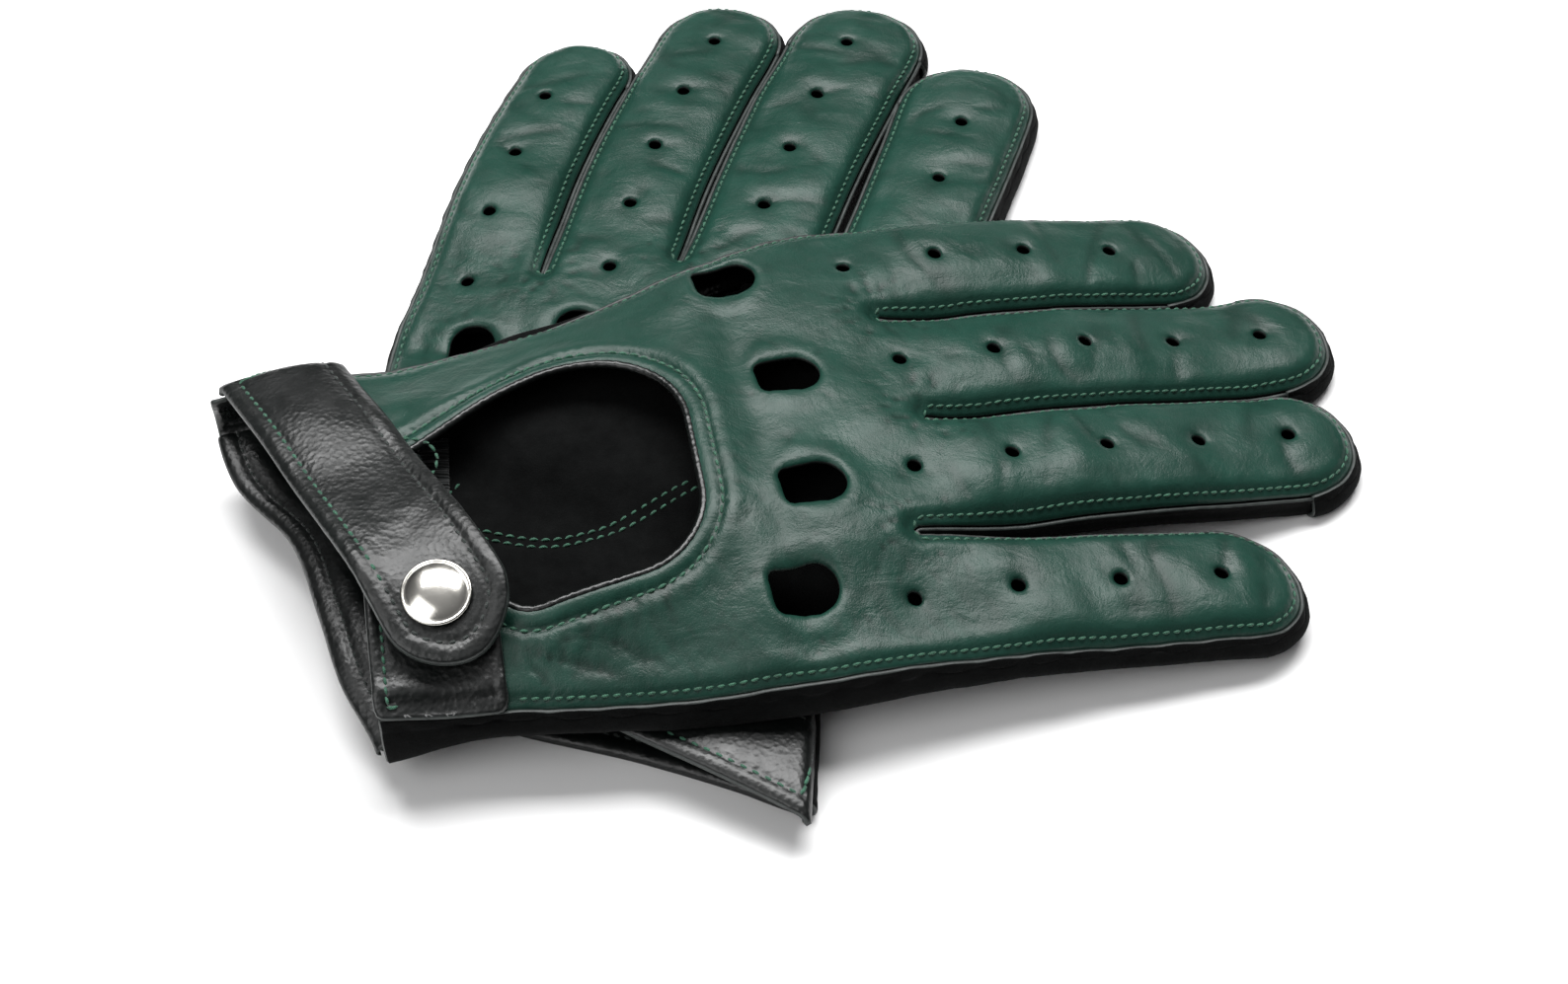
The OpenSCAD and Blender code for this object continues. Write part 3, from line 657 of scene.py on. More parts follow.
# ---- the back's surface -----------------------------------------------------------------
class Back:
    """The outer face of a glove's back: its shape, puffs, dimples, folds and seam grooves."""

    def __init__(self, side):
        self.side = side
        self.rim = body_edge(outline(side, 0.5))
        self.key = keyhole_path(side, 0.5)
        self.holes = air_holes(side)

    def folds(self, x, y):
        """Soft wrinkles: the height that they add, and how deep in a fold each point is, a mask that
        darkens the leather's colour as painted shade.
        """
        side = self.side
        shift = 0 if side == RIGHT else 50
        dz = 0.55 * noise(x / 24 + shift, y / 17, 1) + 0.28 * noise(x / 11 + shift, y / 9, 2)
        # deep gathers painted shade: it only darkens the colour in the folds, puckers and creases below
        deep = np.zeros_like(x)
        on_fingers = smooth((x - 112) / 16)
        # soft cross folds on the fingers, and the tops that fill out between them
        for i in range(4):
            u, w = finger_uw(side, i, x, y)
            mine = smooth((half_width(side, i, u) + 0.5 - np.abs(w)) / 1.0) * on_fingers
            wave = noise(u / 10 + 7 * i + shift, w / 22, 10 + i)
            fold = crease(wave, 0.16) * smooth(0.5 + noise(u / 9, w / 9 + 3 * i, 20 + i))
            dz += mine * (0.45 * wave - 0.34 * fold)
            deep += mine * 0.5 * fold
            wave = noise(u / 4.2 + 3 * i, w / 12 + shift, 30 + i)
            dz += mine * 0.09 * wave
        # the ridge before the knuckles, the hollow at them and the puffs after them
        on_palm = smooth((x - 30) / 20) * (1 - on_fingers)
        dz += 0.9 * bell(x - 80 - 0.05 * y, 5.5) * on_palm
        dz -= 0.9 * bell(x - 89 - 0.04 * y, 4.0) * on_palm
        for cx, cy in CROTCH:
            dz += 1.1 * bell(np.hypot((x - cx + 11) / 1.3, y - cy), 7.5)
        for cx, cy in KNUCKLE:
            r, a = np.hypot(x - cx, y - cy), np.arctan2(y - cy, x - cx)
            dz += 0.5 * bell(r - 7.5, 2.4)
            spoke = crease(np.sin(a * 3.5 + 2.5 * noise(x / 6, y / 6, 5)), 0.16)
            fade = bell(r - 10, 3.5) * smooth(0.4 + noise(a * 1.2 + cx, 0 * a + cy, 6))
            dz -= 0.3 * spoke * fade
            deep += 0.6 * spoke * fade
        # puckers that run out from the crotches
        for cx, cy in CROTCH:
            r = np.hypot(x - cx, y - cy)
            a = np.arctan2(y - cy, x - cx)
            spoke = crease(np.sin(a * 6 + 1.6 * noise(x / 5 + cx, y / 5, 7)), 0.22)
            fade = bell(r - 5, 6.5) * smooth((r - 1.2) / 2)
            dz -= 0.36 * spoke * fade
            deep += 0.8 * spoke * fade
        # long creases from the keyhole's low corner towards the little finger
        fx, fy = x - 33, y + 33
        r, a = np.hypot(fx, fy), np.arctan2(fy, fx)
        for sway, lines, gain, seed in ((1.3, 11, 0.42, 8), (2.2, 23, 0.16, 9)):
            spoke = crease(np.sin(a * lines + sway * noise(x / 9, y / 7, seed)), 0.3)
            reach = smooth((r - 3) / 4) * (1 - smooth((r - 16) / 26))
            fan = smooth((a + 1.35) / 0.4) * (1 - smooth((a + 0.1) / 0.35)) * reach
            dz -= gain * spoke * fan
            deep += 1.4 * gain * spoke * fan
        # fine drawn grain across the little-finger side of the palm
        fine = crease(noise(x / 2.6 + 2 * noise(x / 15, y / 15, 12), y / 16, 13), 0.2)
        area = smooth((-18 - y) / 22) * smooth((x - 34) / 12) * (1 - smooth((x - 112) / 20))
        dz -= 0.10 * fine * area
        deep += 0.35 * fine * area
        return dz, np.clip(deep, 0, 1)

    def height(self, x, y, with_fold=False):
        shape = np.shape(x)
        x, y = np.ravel(x).astype(float), np.ravel(y).astype(float)
        side = self.side
        z = back_z(side, x, y)
        dz, deep = self.folds(x, y)
        rim, at = nearest(x, y, self.rim)
        d = rim - SEAM_INSET
        key, key_at = nearest(x, y, self.key)
        calm = smooth(d / 5) * smooth(key / 5)
        z = z + dz * (0.25 + 0.75 * calm)
        # leather rolls down into the side seam, and is drawn in by each stitch
        z -= 1.25 * np.clip(1 - d / 2.6, 0, 1) ** 2
        pull = 0.75 + 0.25 * np.cos(at * 0.5 / STITCH_PITCH * 2 * math.pi)
        z -= 0.42 * pull * bell(d - STITCH_INSET, 0.6)
        z += 0.28 * bell(d - STITCH_INSET - 2.0, 1.3)
        pull = 0.7 + 0.3 * np.cos(key_at * 0.5 / 2.2 * 2 * math.pi)
        z += 0.5 * bell(key - 1.7, 1.3)
        z -= 0.6 * pull * bell(key - KEY_STITCH, 0.7)
        z += 0.35 * bell(key - KEY_STITCH - 2.2, 1.5)
        z -= 0.5 * np.clip(1 - key / 0.8, 0, 1) ** 2
        # gathers that leave the keyhole's stitches
        ripple = crease(np.sin(key_at * 0.5 / 1.55 + 1.5 * noise(x / 6, y / 6, 14)), 0.35)
        lower = smooth((key_at * 0.5 - 22) / 12) * (1 - smooth((key_at * 0.5 - 78) / 25))
        out = bell(key - 6.5, 2.8) * lower
        z -= 0.22 * ripple * out
        # painted shade in the gathers' hollows
        deep = deep + 0.5 * ripple * out
        for hx, hy in self.holes:
            r = np.hypot(x - hx, y - hy)
            z -= 0.5 * bell(r, 3.4)
            # painted shade in each air hole's dimple
            deep = deep + 0.25 * bell(r, 2.2)
        # painted shade along the stitch grooves of the seam and the keyhole, on top of the folds' own
        deep = deep * calm + 0.5 * bell(d - STITCH_INSET, 0.7) + 0.5 * bell(key - KEY_STITCH, 0.7)
        if with_fold:
            return z.reshape(shape), np.clip(deep, 0, 1).reshape(shape)
        return z.reshape(shape)

    def points(self, xy, lift=0.0):
        """Points on the surface, and its normals, for a path in the plane."""
        x, y = np.asarray(xy, float).T
        e = 0.25
        z = self.height(x, y)
        zx = (self.height(x + e, y) - self.height(x - e, y)) / (2 * e)
        zy = (self.height(x, y + e) - self.height(x, y - e)) / (2 * e)
        n = np.stack([-zx, -zy, np.ones_like(zx)], 1)
        n /= np.linalg.norm(n, axis=1, keepdims=True)
        return np.stack([x, y, z], 1) + n * lift, n


def offset_path(path, distance, closed=False):
    return path + inward(path, closed) * distance


def local(side, points):
    """Place a list of points of the glove's frame."""
    return place(side, *np.asarray(points, float).T)


# ---- materials --------------------------------------------------------------------------
class Shader:
    """A procedural material, built node by node."""

    def __init__(self, name, base, rough, specular=0.5, metallic=0.0, sheen=0.0):
        self.material = bpy.data.materials.new(name)
        self.material.use_nodes = True
        self.nodes = self.material.node_tree.nodes
        self.links = self.material.node_tree.links
        self.bsdf = self.nodes["Principled BSDF"]
        self.bsdf.inputs["Base Color"].default_value = (*base, 1)
        self.bsdf.inputs["Roughness"].default_value = rough
        self.bsdf.inputs["Specular IOR Level"].default_value = specular
        self.bsdf.inputs["Metallic"].default_value = metallic
        self.bsdf.inputs["Sheen Weight"].default_value = sheen
        self.bsdf.inputs["Sheen Roughness"].default_value = 0.5
        self.place = self.nodes.new("ShaderNodeTexCoord").outputs["Object"]
        self.normal = None

    def wire(self, source, target):
        self.links.new(source, target)

    def noise(self, scale, detail=3, rough=0.5, stretch=None, distortion=0.0):
        node = self.nodes.new("ShaderNodeTexNoise")
        node.inputs["Scale"].default_value = scale
        node.inputs["Detail"].default_value = detail
        node.inputs["Roughness"].default_value = rough
        node.inputs["Distortion"].default_value = distortion
        self.wire(self.stretched(stretch), node.inputs["Vector"])
        return node.outputs["Fac"]

    def stretched(self, stretch):
        if stretch is None:
            return self.place
        node = self.nodes.new("ShaderNodeMapping")
        node.inputs["Scale"].default_value = stretch
        self.wire(self.place, node.inputs["Vector"])
        return node.outputs["Vector"]

    def cells(self, scale, feature="F1"):
        node = self.nodes.new("ShaderNodeTexVoronoi")
        node.feature = feature
        node.inputs["Scale"].default_value = scale
        self.wire(self.place, node.inputs["Vector"])
        return node.outputs["Distance"]

    def ramp(self, source, stops):
        node = self.nodes.new("ShaderNodeValToRGB")
        ramp = node.color_ramp
        while len(ramp.elements) < len(stops):
            ramp.elements.new(0.5)
        for element, (at, value) in zip(ramp.elements, stops):
            element.position = at
            colour = value if isinstance(value, tuple) else (value,) * 3
            element.color = (*colour, 1)
        self.wire(source, node.inputs["Fac"])
        return node.outputs["Color"]

    def math(self, kind, a, b, clamp=False):
        node = self.nodes.new("ShaderNodeMath")
        node.operation = kind
        node.use_clamp = clamp
        for socket, value in zip(node.inputs, (a, b)):
            if isinstance(value, (int, float)):
                socket.default_value = value
            else:
                self.wire(value, socket)
        return node.outputs["Value"]

    def mix(self, factor, a, b, blend="MIX"):
        node = self.nodes.new("ShaderNodeMix")
        node.data_type = "RGBA"
        node.blend_type = blend
        for socket, value in zip((node.inputs[0], node.inputs[6], node.inputs[7]), (factor, a, b)):
            if isinstance(value, (int, float)):
                socket.default_value = value
            elif isinstance(value, tuple):
                socket.default_value = (*value, 1)
            else:
                self.wire(value, socket)
        return node.outputs[2]

    def attribute(self, name):
        node = self.nodes.new("ShaderNodeAttribute")
        node.attribute_name = name
        return node.outputs["Fac"]

    def bump(self, height, strength, distance):
        node = self.nodes.new("ShaderNodeBump")
        node.inputs["Strength"].default_value = strength
        node.inputs["Distance"].default_value = distance
        self.wire(height, node.inputs["Height"])
        if self.normal is not None:
            self.wire(self.normal, node.inputs["Normal"])
        self.normal = node.outputs["Normal"]
        self.wire(self.normal, self.bsdf.inputs["Normal"])

    def colour(self, source):
        self.wire(source, self.bsdf.inputs["Base Color"])

    def roughness(self, source):
        self.wire(source, self.bsdf.inputs["Roughness"])


def green_nappa():
    s = Shader("green_nappa", (0.010, 0.044, 0.031), 0.4, specular=0.30)
    broad = s.ramp(s.noise(28, 3, 0.55),
                   [(0.3, (0.0070, 0.036, 0.025)), (0.7, (0.0115, 0.050, 0.036))])
    mottle = s.ramp(s.noise(210, 4, 0.6), [(0.35, 0.86), (0.7, 1.06)])
    tint = s.mix(1.0, broad, mottle, "MULTIPLY")
    # painted shade: the green darkens towards a near-black green where the fold attribute is high, in
    # creases, stitch grooves and dimples
    crease_shaded = s.mix(s.math("MULTIPLY", s.attribute("fold"), 0.8, True), tint, (0.001, 0.006, 0.004))
    s.colour(crease_shaded)
    s.roughness(s.ramp(s.noise(120, 3, 0.6), [(0.3, 0.33), (0.75, 0.46)]))
    pores = s.math("MINIMUM", s.cells(2600), 0.55)
    s.bump(pores, 0.35, 0.00010)
    s.bump(s.noise(700, 4, 0.65, (1, 0.55, 1), 0.4), 0.35, 0.00028)
    s.bump(s.noise(190, 3, 0.6, (0.6, 1, 1), 0.8), 0.30, 0.0007)
    return s.material


def black_grain(name="black_grain", rough=0.36):
    s = Shader(name, (0.012, 0.014, 0.013), rough, specular=0.5)
    tone = s.ramp(s.noise(60, 3, 0.55),
                  [(0.3, (0.002, 0.0028, 0.0026)), (0.7, (0.004, 0.0056, 0.0052))])
    # painted shade: the black darkens further where the fold attribute is high, in creases and stitch
    # grooves
    s.colour(s.mix(s.math("MULTIPLY", s.attribute("fold"), 0.7, True), tone, (0.001, 0.0012, 0.0012)))
    s.roughness(s.ramp(s.noise(160, 3, 0.6), [(0.3, rough - 0.06), (0.75, rough + 0.10)]))
    pebbles = s.math("POWER", s.cells(1150, "SMOOTH_F1"), 1.6)
    s.bump(pebbles, 0.45, 0.00024)
    s.bump(s.noise(2600, 3, 0.6), 0.25, 0.00010)
    s.bump(s.noise(230, 4, 0.6, (1, 0.6, 1), 0.9), 0.14, 0.0005)
    return s.material


def suede():
    s = Shader("suede_lining", (0.003, 0.0033, 0.0033), 0.95, specular=0.06, sheen=0.02)
    s.colour(s.ramp(s.noise(170, 5, 0.7),
                    [(0.3, (0.0015, 0.0017, 0.0017)), (0.75, (0.005, 0.0054, 0.0054))]))
    s.bump(s.noise(1900, 4, 0.8), 0.6, 0.0003)
    return s.material


def cut_edge():
    s = Shader("cut_edge", (0.018, 0.022, 0.021), 0.5, specular=0.5)
    s.colour(s.ramp(s.noise(420, 3, 0.6),
                    [(0.3, (0.012, 0.016, 0.015)), (0.7, (0.034, 0.042, 0.039))]))
    s.bump(s.noise(1500, 3, 0.6), 0.3, 0.00015)
    return s.material


def thread(name, dark, light):
    s = Shader(name, light, 0.55, specular=0.4, sheen=0.25)
    s.colour(s.ramp(s.noise(900, 2, 0.5), [(0.3, dark), (0.7, light)]))
    twist = s.nodes.new("ShaderNodeTexWave")
    twist.bands_direction = "DIAGONAL"
    twist.inputs["Scale"].default_value = 1500
    twist.inputs["Distortion"].default_value = 1.0
    s.wire(s.place, twist.inputs["Vector"])
    s.bump(twist.outputs["Fac"], 0.5, 0.00012)
    return s.material


def woven_elastic():
    s = Shader("woven_elastic", (0.02, 0.022, 0.022), 0.8, specular=0.2, sheen=0.2)
    ribs = s.nodes.new("ShaderNodeTexWave")
    ribs.bands_direction = "Y"
    ribs.inputs["Scale"].default_value = 600
    s.wire(s.place, ribs.inputs["Vector"])
    s.colour(s.ramp(ribs.outputs["Fac"],
                    [(0.2, (0.009, 0.010, 0.010)), (0.8, (0.030, 0.033, 0.033))]))
    s.bump(ribs.outputs["Fac"], 0.6, 0.0003)
    return s.material


def nickel():
    s = Shader("polished_nickel", (0.70, 0.68, 0.63), 0.10, metallic=1.0)
    s.roughness(s.ramp(s.noise(500, 4, 0.6), [(0.35, 0.16), (0.75, 0.24)]))
    s.bump(s.noise(900, 3, 0.6, (1, 0.2, 1)), 0.04, 0.00005)
    return s.material


GREEN, BLACK, SUEDE, EDGE_PAINT = green_nappa(), black_grain(), suede(), cut_edge()
SMOOTH_BLACK = black_grain("smooth_black", 0.30)
GREEN_THREAD = thread("green_thread", (0.010, 0.060, 0.034), (0.030, 0.135, 0.078))
DARK_THREAD = thread("dark_thread", (0.005, 0.009, 0.008), (0.016, 0.026, 0.022))
ELASTIC, NICKEL = woven_elastic(), nickel()


# ---- pieces of one glove ----------------------------------------------------------------
BACK_LOW = [(BACK_WRIST_LOW[1], -40.5), (BACK_WRIST_LOW[0], MOUTH_LOW)]    # under the stud tab
BACK_HIGH = [(BACK_WRIST_HIGH[0], MOUTH_HIGH), (BACK_WRIST_HIGH[1], 40)]   # under the strap
STRAP_DIR = np.array([math.cos(STRAP_TURN), math.sin(STRAP_TURN)])
STRAP_SIDE = np.array([-STRAP_DIR[1], STRAP_DIR[0]])
TAB = [(9.9, -41.7), (13.0, -14.0), (35.5, -14.0), (32.6, -44.5)]    # corners of the stud tab
CAP_RISE, CAP_HEIGHT = 6.5, 1.9    # the snap cap's underside over the leather, and its height
INNER_SEAM = [(31, -1), (40.6, -5.7), (47.6, -7.7), (55, -7.2), (63, -5.7), (76, -3.5)]
INNER_MARK = [(30.4, 7.3), (34.4, 10.8)]


def body_of(side, flap=False):
    if side == LEFT:
        return "left_glove"
    return "right_strap_flap" if flap else "right_glove"


def finish(piece, side, replaced=(), flap=False):
    if replaced:
        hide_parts(*[side + "_" + node for node in replaced])
    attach(piece, body_of(side, flap))


def sew(name, side, row, material, replaced=()):
    """A row of stitches that rides on its glove."""
    points, quads = row
    piece = mesh_piece(name, local(side, points), [quads], [material], flip=side == LEFT)
    finish(piece, side, replaced)


def smooth_run(values, width):
    """A running mean, to steady the normals and heights along a seam."""
    kernel = np.ones(width) / width
    pad = np.pad(values, ((width // 2, width // 2), (0, 0)), mode="edge")
    return np.stack([np.convolve(pad[:, k], kernel, "valid") for k in range(values.shape[1])], 1)


def make_back(side, back):
    edge = offset_path(body_edge(outline(side)), SEAM_INSET)
    keep = (edge[:, 0] > BACK_HIGH[1][0]) & ((edge[:, 0] > BACK_LOW[0][0]) | (edge[:, 1] > 0))
    edge = edge[keep]
    low = resample([BACK_LOW[0], BACK_LOW[1]], 1.1)
    high = resample([BACK_HIGH[0], BACK_HIGH[1]], 1.1)
    key = keyhole_path(side, 1.0)
    outer = np.vstack([edge, low[:-1], key, high[1:]])
    holes = [knuckle_loop(c) for c in KNUCKLE] + [ring(c, AIR_RADIUS) for c in air_holes(side)]
    rows = [offset_path(edge, d) for d in (0.45, 0.9, STITCH_INSET, 1.9, 2.5)]
    rows += [offset_path(key, d) for d in (0.5, 1.1, 1.8, 2.5, 3.1, 3.6, 4.1, 4.8)]
    for c in KNUCKLE:
        rows += [np.array(c) + (knuckle_loop(c) - c) * (1 + d / 6.5) for d in (0.6, 1.3, 2.1)]
    for c in air_holes(side):
        rows += [ring(c, AIR_RADIUS + 0.5, 16), ring(c, AIR_RADIUS + 1.2, 20)]
    flat, tris = fill(outer, holes, rows, 1.15 if side == RIGHT else 1.3)
    # fold is the painted-shade mask that darkens the back's colour in creases, grooves and dimples
    z, fold = back.height(flat[:, 0], flat[:, 1], with_fold=True)
    # the leather turns down a little round every hole
    for c in KNUCKLE:
        d = nearest(flat[:, 0], flat[:, 1], knuckle_loop(c, 0.4))[0]
        z -= 0.55 * np.clip(1 - d / 1.2, 0, 1) ** 2
    for c in air_holes(side):
        d = np.hypot(flat[:, 0] - c[0], flat[:, 1] - c[1]) - AIR_RADIUS
        z -= 0.35 * np.clip(1 - d / 0.8, 0, 1) ** 2
    piece = skin(side + "_back", side, np.column_stack([flat, z]), [tris], LEATHER,
                 [GREEN, SUEDE, EDGE_PAINT], fold)
    finish(piece, side, ["back_panel"])


def wall_rows(side, back, path, normals, slit):
    """The side of the glove from the palm's edge up to the seam under the back's edge, as rows
    of points for each point of a piece of the outline."""
    x, y = path.T
    run = np.concatenate([[0], np.cumsum(np.linalg.norm(np.diff(path, axis=0), axis=1))])
    low = palm_z(side, x, y)
    seat = path + normals * (SEAM_INSET + 0.15)
    top = back.height(seat[:, 0], seat[:, 1]) - 0.75
    rows, folds = [], []
    levels = [0, 0.05, 0.12, 0.22, 0.34, 0.46, 0.58, 0.68, 0.745, 0.79, 0.83, 0.87, 0.91, 0.95, 1]
    gather = np.cos(run / 1.35 + 1.2 * noise(run / 5, 0 * run, 40))
    wave = noise(run / 9, 0 * run, 41)
    for t in levels:
        lift = 1 - math.sqrt(1 - (1 - min(1, t / 0.22)) ** 2) if t < 0.22 else 0
        inset = BOTTOM_INSET * lift
        if slit:
            inset = inset + 0.7 * math.sin(math.pi * t) + 0.3 * t ** 6
        else:
            inset = inset - 0.75 * math.sin(math.pi * min(1, t / 0.78)) * (1 + 0.3 * wave)
            band = bell(t - 0.88, 0.09)
            inset = inset + band * (0.12 + 0.22 * gather) + 0.25 * bell(t - 0.765, 0.022)
            inset = inset + 0.55 * t ** 10
        wrinkle = 0.18 * noise(run / 3.2, 0 * run + t * 3, 42) * math.sin(math.pi * t)
        q = path + normals * np.reshape(inset + wrinkle, (-1, 1))
        rows.append(np.column_stack([q, low + (top - low) * t]))
        # painted shade in the groove under the seam and in the gathers' hollows along the top of the side
        folds.append(0 * run + (0.6 * bell(t - 0.765, 0.03)) + 0.35 * bell(t - 0.88, 0.1)
                     * (gather > 0.2) * (not slit))
    return np.array(rows), np.array(folds)


def make_palm(side, back):
    """The palm with the outer sides turned up from it, and the strips between the fingers."""
    pieces = outline(side)
    body = body_edge(pieces)
    all_normals = inward(body, closed=False)
    first, joined = 0, []
    for kind, p in pieces:
        if kind == "wrist":
            continue
        n = len(p) - 1
        last = first + n + (1 if first + n < len(body) else 0)
        joined.append((kind, body[first:last], all_normals[first:last]))
        first += n
    loops, walls = [], []
    for kind, path, normals in joined:
        rows, folds = wall_rows(side, back, path, normals, kind != "side")
        walls.append((kind, rows, folds))
        loops.append(rows[0] if kind == joined[-1][0] and path is joined[-1][1] else rows[0][:-1])
    bottom = np.vstack(loops)[:, :2]
    ys = np.linspace(bottom[-1][1], bottom[0][1], 68)[1:-1]
    rim = np.column_stack([wrist_x(side, ys), ys])
    flat, tris = fill(np.vstack([bottom, rim]), (), [], 1.6)
    dz = 0.25 * noise(flat[:, 0] / 9, flat[:, 1] / 7, 50) * smooth(
        nearest(flat[:, 0], flat[:, 1], np.vstack([bottom, rim]))[0] / 6)
    z = palm_z(side, flat[:, 0], flat[:, 1]) + np.abs(dz)
    sheet = np.column_stack([flat, z])
    # the sheet faces down, and carries the walls on its own edge points
    points, faces, fold = [sheet], [tris[:, ::-1]], [np.zeros(len(sheet))]
    count, start = len(sheet), 0
    strips = []
    for (kind, path, normals), (_, rows, folds) in zip(joined, walls):
        n = rows.shape[1]
        base = np.arange(start, start + n)
        start += n - 1
        if kind == "side":
            grid = np.vstack([base, count + np.arange(n * (len(rows) - 1)).reshape(-1, n)])
            points.append(rows[1:].reshape(-1, 3))
            fold.append(folds[1:].ravel())
            count += n * (len(rows) - 1)
            faces.append(grid_quads(grid))
        else:
            strips.append((kind, rows, folds))
    piece = skin(side + "_palm", side, np.vstack(points), faces, LEATHER,
                 [SMOOTH_BLACK, SUEDE, EDGE_PAINT], np.concatenate(fold))
    finish(piece, side, ["palm_panel"])
    names = {"slit0": "fourchette_index_middle", "slit1": "fourchette_middle_ring",
             "slit2": "fourchette_ring_pinky"}
    for kind, rows, folds in strips:
        piece = skin("%s_%s" % (side, names[kind]), side, rows.reshape(-1, 3), [row_quads(rows)],
                     FOURCHETTE_THICK, [BLACK, SUEDE, EDGE_PAINT], folds.ravel())
        finish(piece, side, [names[kind]])


def seam_stitches(side, back):
    """The green stitches that run round the back, and the row round the keyhole."""
    edge = offset_path(body_edge(outline(side)), SEAM_INSET + STITCH_INSET)
    edge = resample(smooth_run(edge, 3), 0.7)
    keep = (edge[:, 0] > 34) | (edge[:, 1] > 0) & (edge[:, 0] > 8)
    first = np.argmax(keep)
    last = len(keep) - np.argmax(keep[::-1])
    path, normals = back.points(edge[first:last], 0.12)
    sew(side + "_seam_stitches", side, stitch_row(path, smooth_run(normals, 5)), GREEN_THREAD)
    key = keyhole_path(side, 0.7)
    path, normals = back.points(offset_path(key, KEY_STITCH), 0.16)
    row = stitch_row(path, smooth_run(normals, 5), 2.2, 1.75, 0.34)
    sew(side + "_keyhole_stitches", side, row, GREEN_THREAD, ["keyhole_stitching"])


def make_keyhole_edge(side, back):
    """The black binding turned round the keyhole's cut edge."""
    key = resample(keyhole_path(side, 0.8), 0.8)
    path, normals = back.points(offset_path(key, 0.1), -0.15)
    profile = round_profile(0.8, 12, 0.95)
    points, faces = sweep(path, smooth_run(normals, 9), profile)
    piece = mesh_piece(side + "_keyhole_edge", local(side, points), faces, [SMOOTH_BLACK],
                       flip=side == LEFT)
    finish(piece, side, ["keyhole_binding"])


def surface_patch(back, corners, lift, thick, radius=2.0, spacing=1.1):
    """A flat leather patch laid on the back."""
    c = np.array(corners, float)
    loop = []
    for a, b, d in zip(np.roll(c, 1, 0), c, np.roll(c, -1, 0)):
        u, w = (a - b) / np.linalg.norm(a - b), (d - b) / np.linalg.norm(d - b)
        for t in np.linspace(0, 1, 6):
            loop.append((1 - t) ** 2 * (b + u * radius) + 2 * t * (1 - t) * b
                        + t * t * (b + w * radius))
    loop = resample(loop, 0.9, closed=True)
    if np.sum(loop[:, 0] * np.roll(loop[:, 1], -1) - np.roll(loop[:, 0], -1) * loop[:, 1]) > 0:
        loop = loop[::-1]
    rows = [offset_path(loop, d, True) for d in (0.5, 1.1, 1.8, 2.4, 3.0, 3.7)]
    flat, tris = fill(loop, (), rows, spacing)
    d = nearest(flat[:, 0], flat[:, 1], resample(loop, 0.3, closed=True))[0]
    z = back.height(flat[:, 0], flat[:, 1]) + lift + thick
    z += 0.07 * noise(flat[:, 0] / 5, flat[:, 1] / 5, 60) * smooth(d / 3)
    z -= 0.3 * np.clip(1 - d / 0.8, 0, 1) ** 2 + 0.3 * bell(d - TAB_STITCH, 0.5)
    # painted shade along the tab's stitch groove
    fold = 0.5 * bell(d - TAB_STITCH, 0.5)
    return loop, flat, z, tris, fold


def make_tab(side, back):
    loop, flat, z, tris, fold = surface_patch(back, TAB, TAB_LIFT, LEATHER)
    piece = skin(side + "_tab", side, np.column_stack([flat, z]), [tris], 1.0,
                 [BLACK, SUEDE, EDGE_PAINT], fold)
    finish(piece, side, ["stud_tab"])
    inner = offset_path(loop, TAB_STITCH, True)
    inner = np.vstack([inner, inner[:1]])
    left = inner[(inner[:, 0] < 14.5)]
    right = inner[(inner[:, 0] > 31.5)]
    for name, part, material in (("wrist", left, GREEN_THREAD), ("inner", right, DARK_THREAD)):
        order = np.argsort(part[:, 1])
        part = resample(part[order], 0.6)
        path, normals = back.points(part, 1.25)
        row = stitch_row(path, smooth_run(normals, 5), 1.9, 1.45)
        sew("%s_tab_stitches_%s" % (side, name), side, row, material)


def strap_xy(u, w):
    p = SNAP + STRAP_DIR * (np.asarray(u)[..., None] - STRAP_RUN) + STRAP_SIDE * np.asarray(w)[..., None]
    return p[..., 0], p[..., 1]


def strap_height(side, u, w):
    """Top of the strap. Past the thumb side it turns down over the edge."""
    x, y = strap_xy(u, w)
    edge = thumb_y(x) - 1.5
    over = np.maximum(0, y - edge)
    y_in = np.minimum(y, edge)
    lift = STRAP_CLEAR + (STRAP_RISE - STRAP_CLEAR) * smooth((u - 4) / (STRAP_RUN - 12))
    z = back_z(side, x, y_in) + lift + STRAP_THICK
    z += 0.5 * (1 - np.abs(w / (STRAP_WIDTH / 2)) ** 2.5)
    from_snap = np.hypot(u - STRAP_RUN, w)
    z -= 0.55 * bell(from_snap, 9)
    # soft rolls across the strap above the snap
    roll = noise(u / 5.5 + 0.06 * w, w / 15, 70) * smooth((u - 12) / 10) * smooth((from_snap - 7) / 5)
    z += 0.16 * roll - 0.12 * crease(noise(u / 6, w / 11, 71), 0.14) * smooth((u - 16) / 8) \
        * smooth((from_snap - 7) / 4)
    z += 0.5 * noise(u / 17, w / 14, 72) * smooth((u + 20) / 10)
    return x, y, z, over


def strap_point(side, u, w, lift=0.0):
    """A point of the strap's top. Past the thumb side of the glove the strap bends down."""
    x, y, z, over = strap_height(side, u, w)
    radius = 2.4
    angle = np.minimum(over / radius, 1.45)
    rest = np.maximum(0, over - radius * 1.45)
    dy = -over + (radius + lift) * np.sin(angle) + rest * math.cos(1.45)
    dz = lift - (radius + lift) * (1 - np.cos(angle)) - rest * math.sin(1.45)
    return np.stack([x, y + dy, z + dz], -1)


def strap_outline(step=0.9, grow=0.0):
    half = STRAP_WIDTH / 2 + grow
    a = np.linspace(math.pi / 2, -math.pi / 2, 40)
    start = -STRAP_ROOT_RUN - 2.0 - grow
    blunt = 1 + 0.05 * np.cos(2 * a) ** 2
    end = np.stack([STRAP_RUN + STRAP_END_RUN + half * 0.97 * np.cos(a) * blunt, half * np.sin(a)], 1)
    loop = np.vstack([[start, half], end, [start, -half]])
    return resample(loop, step, closed=True)


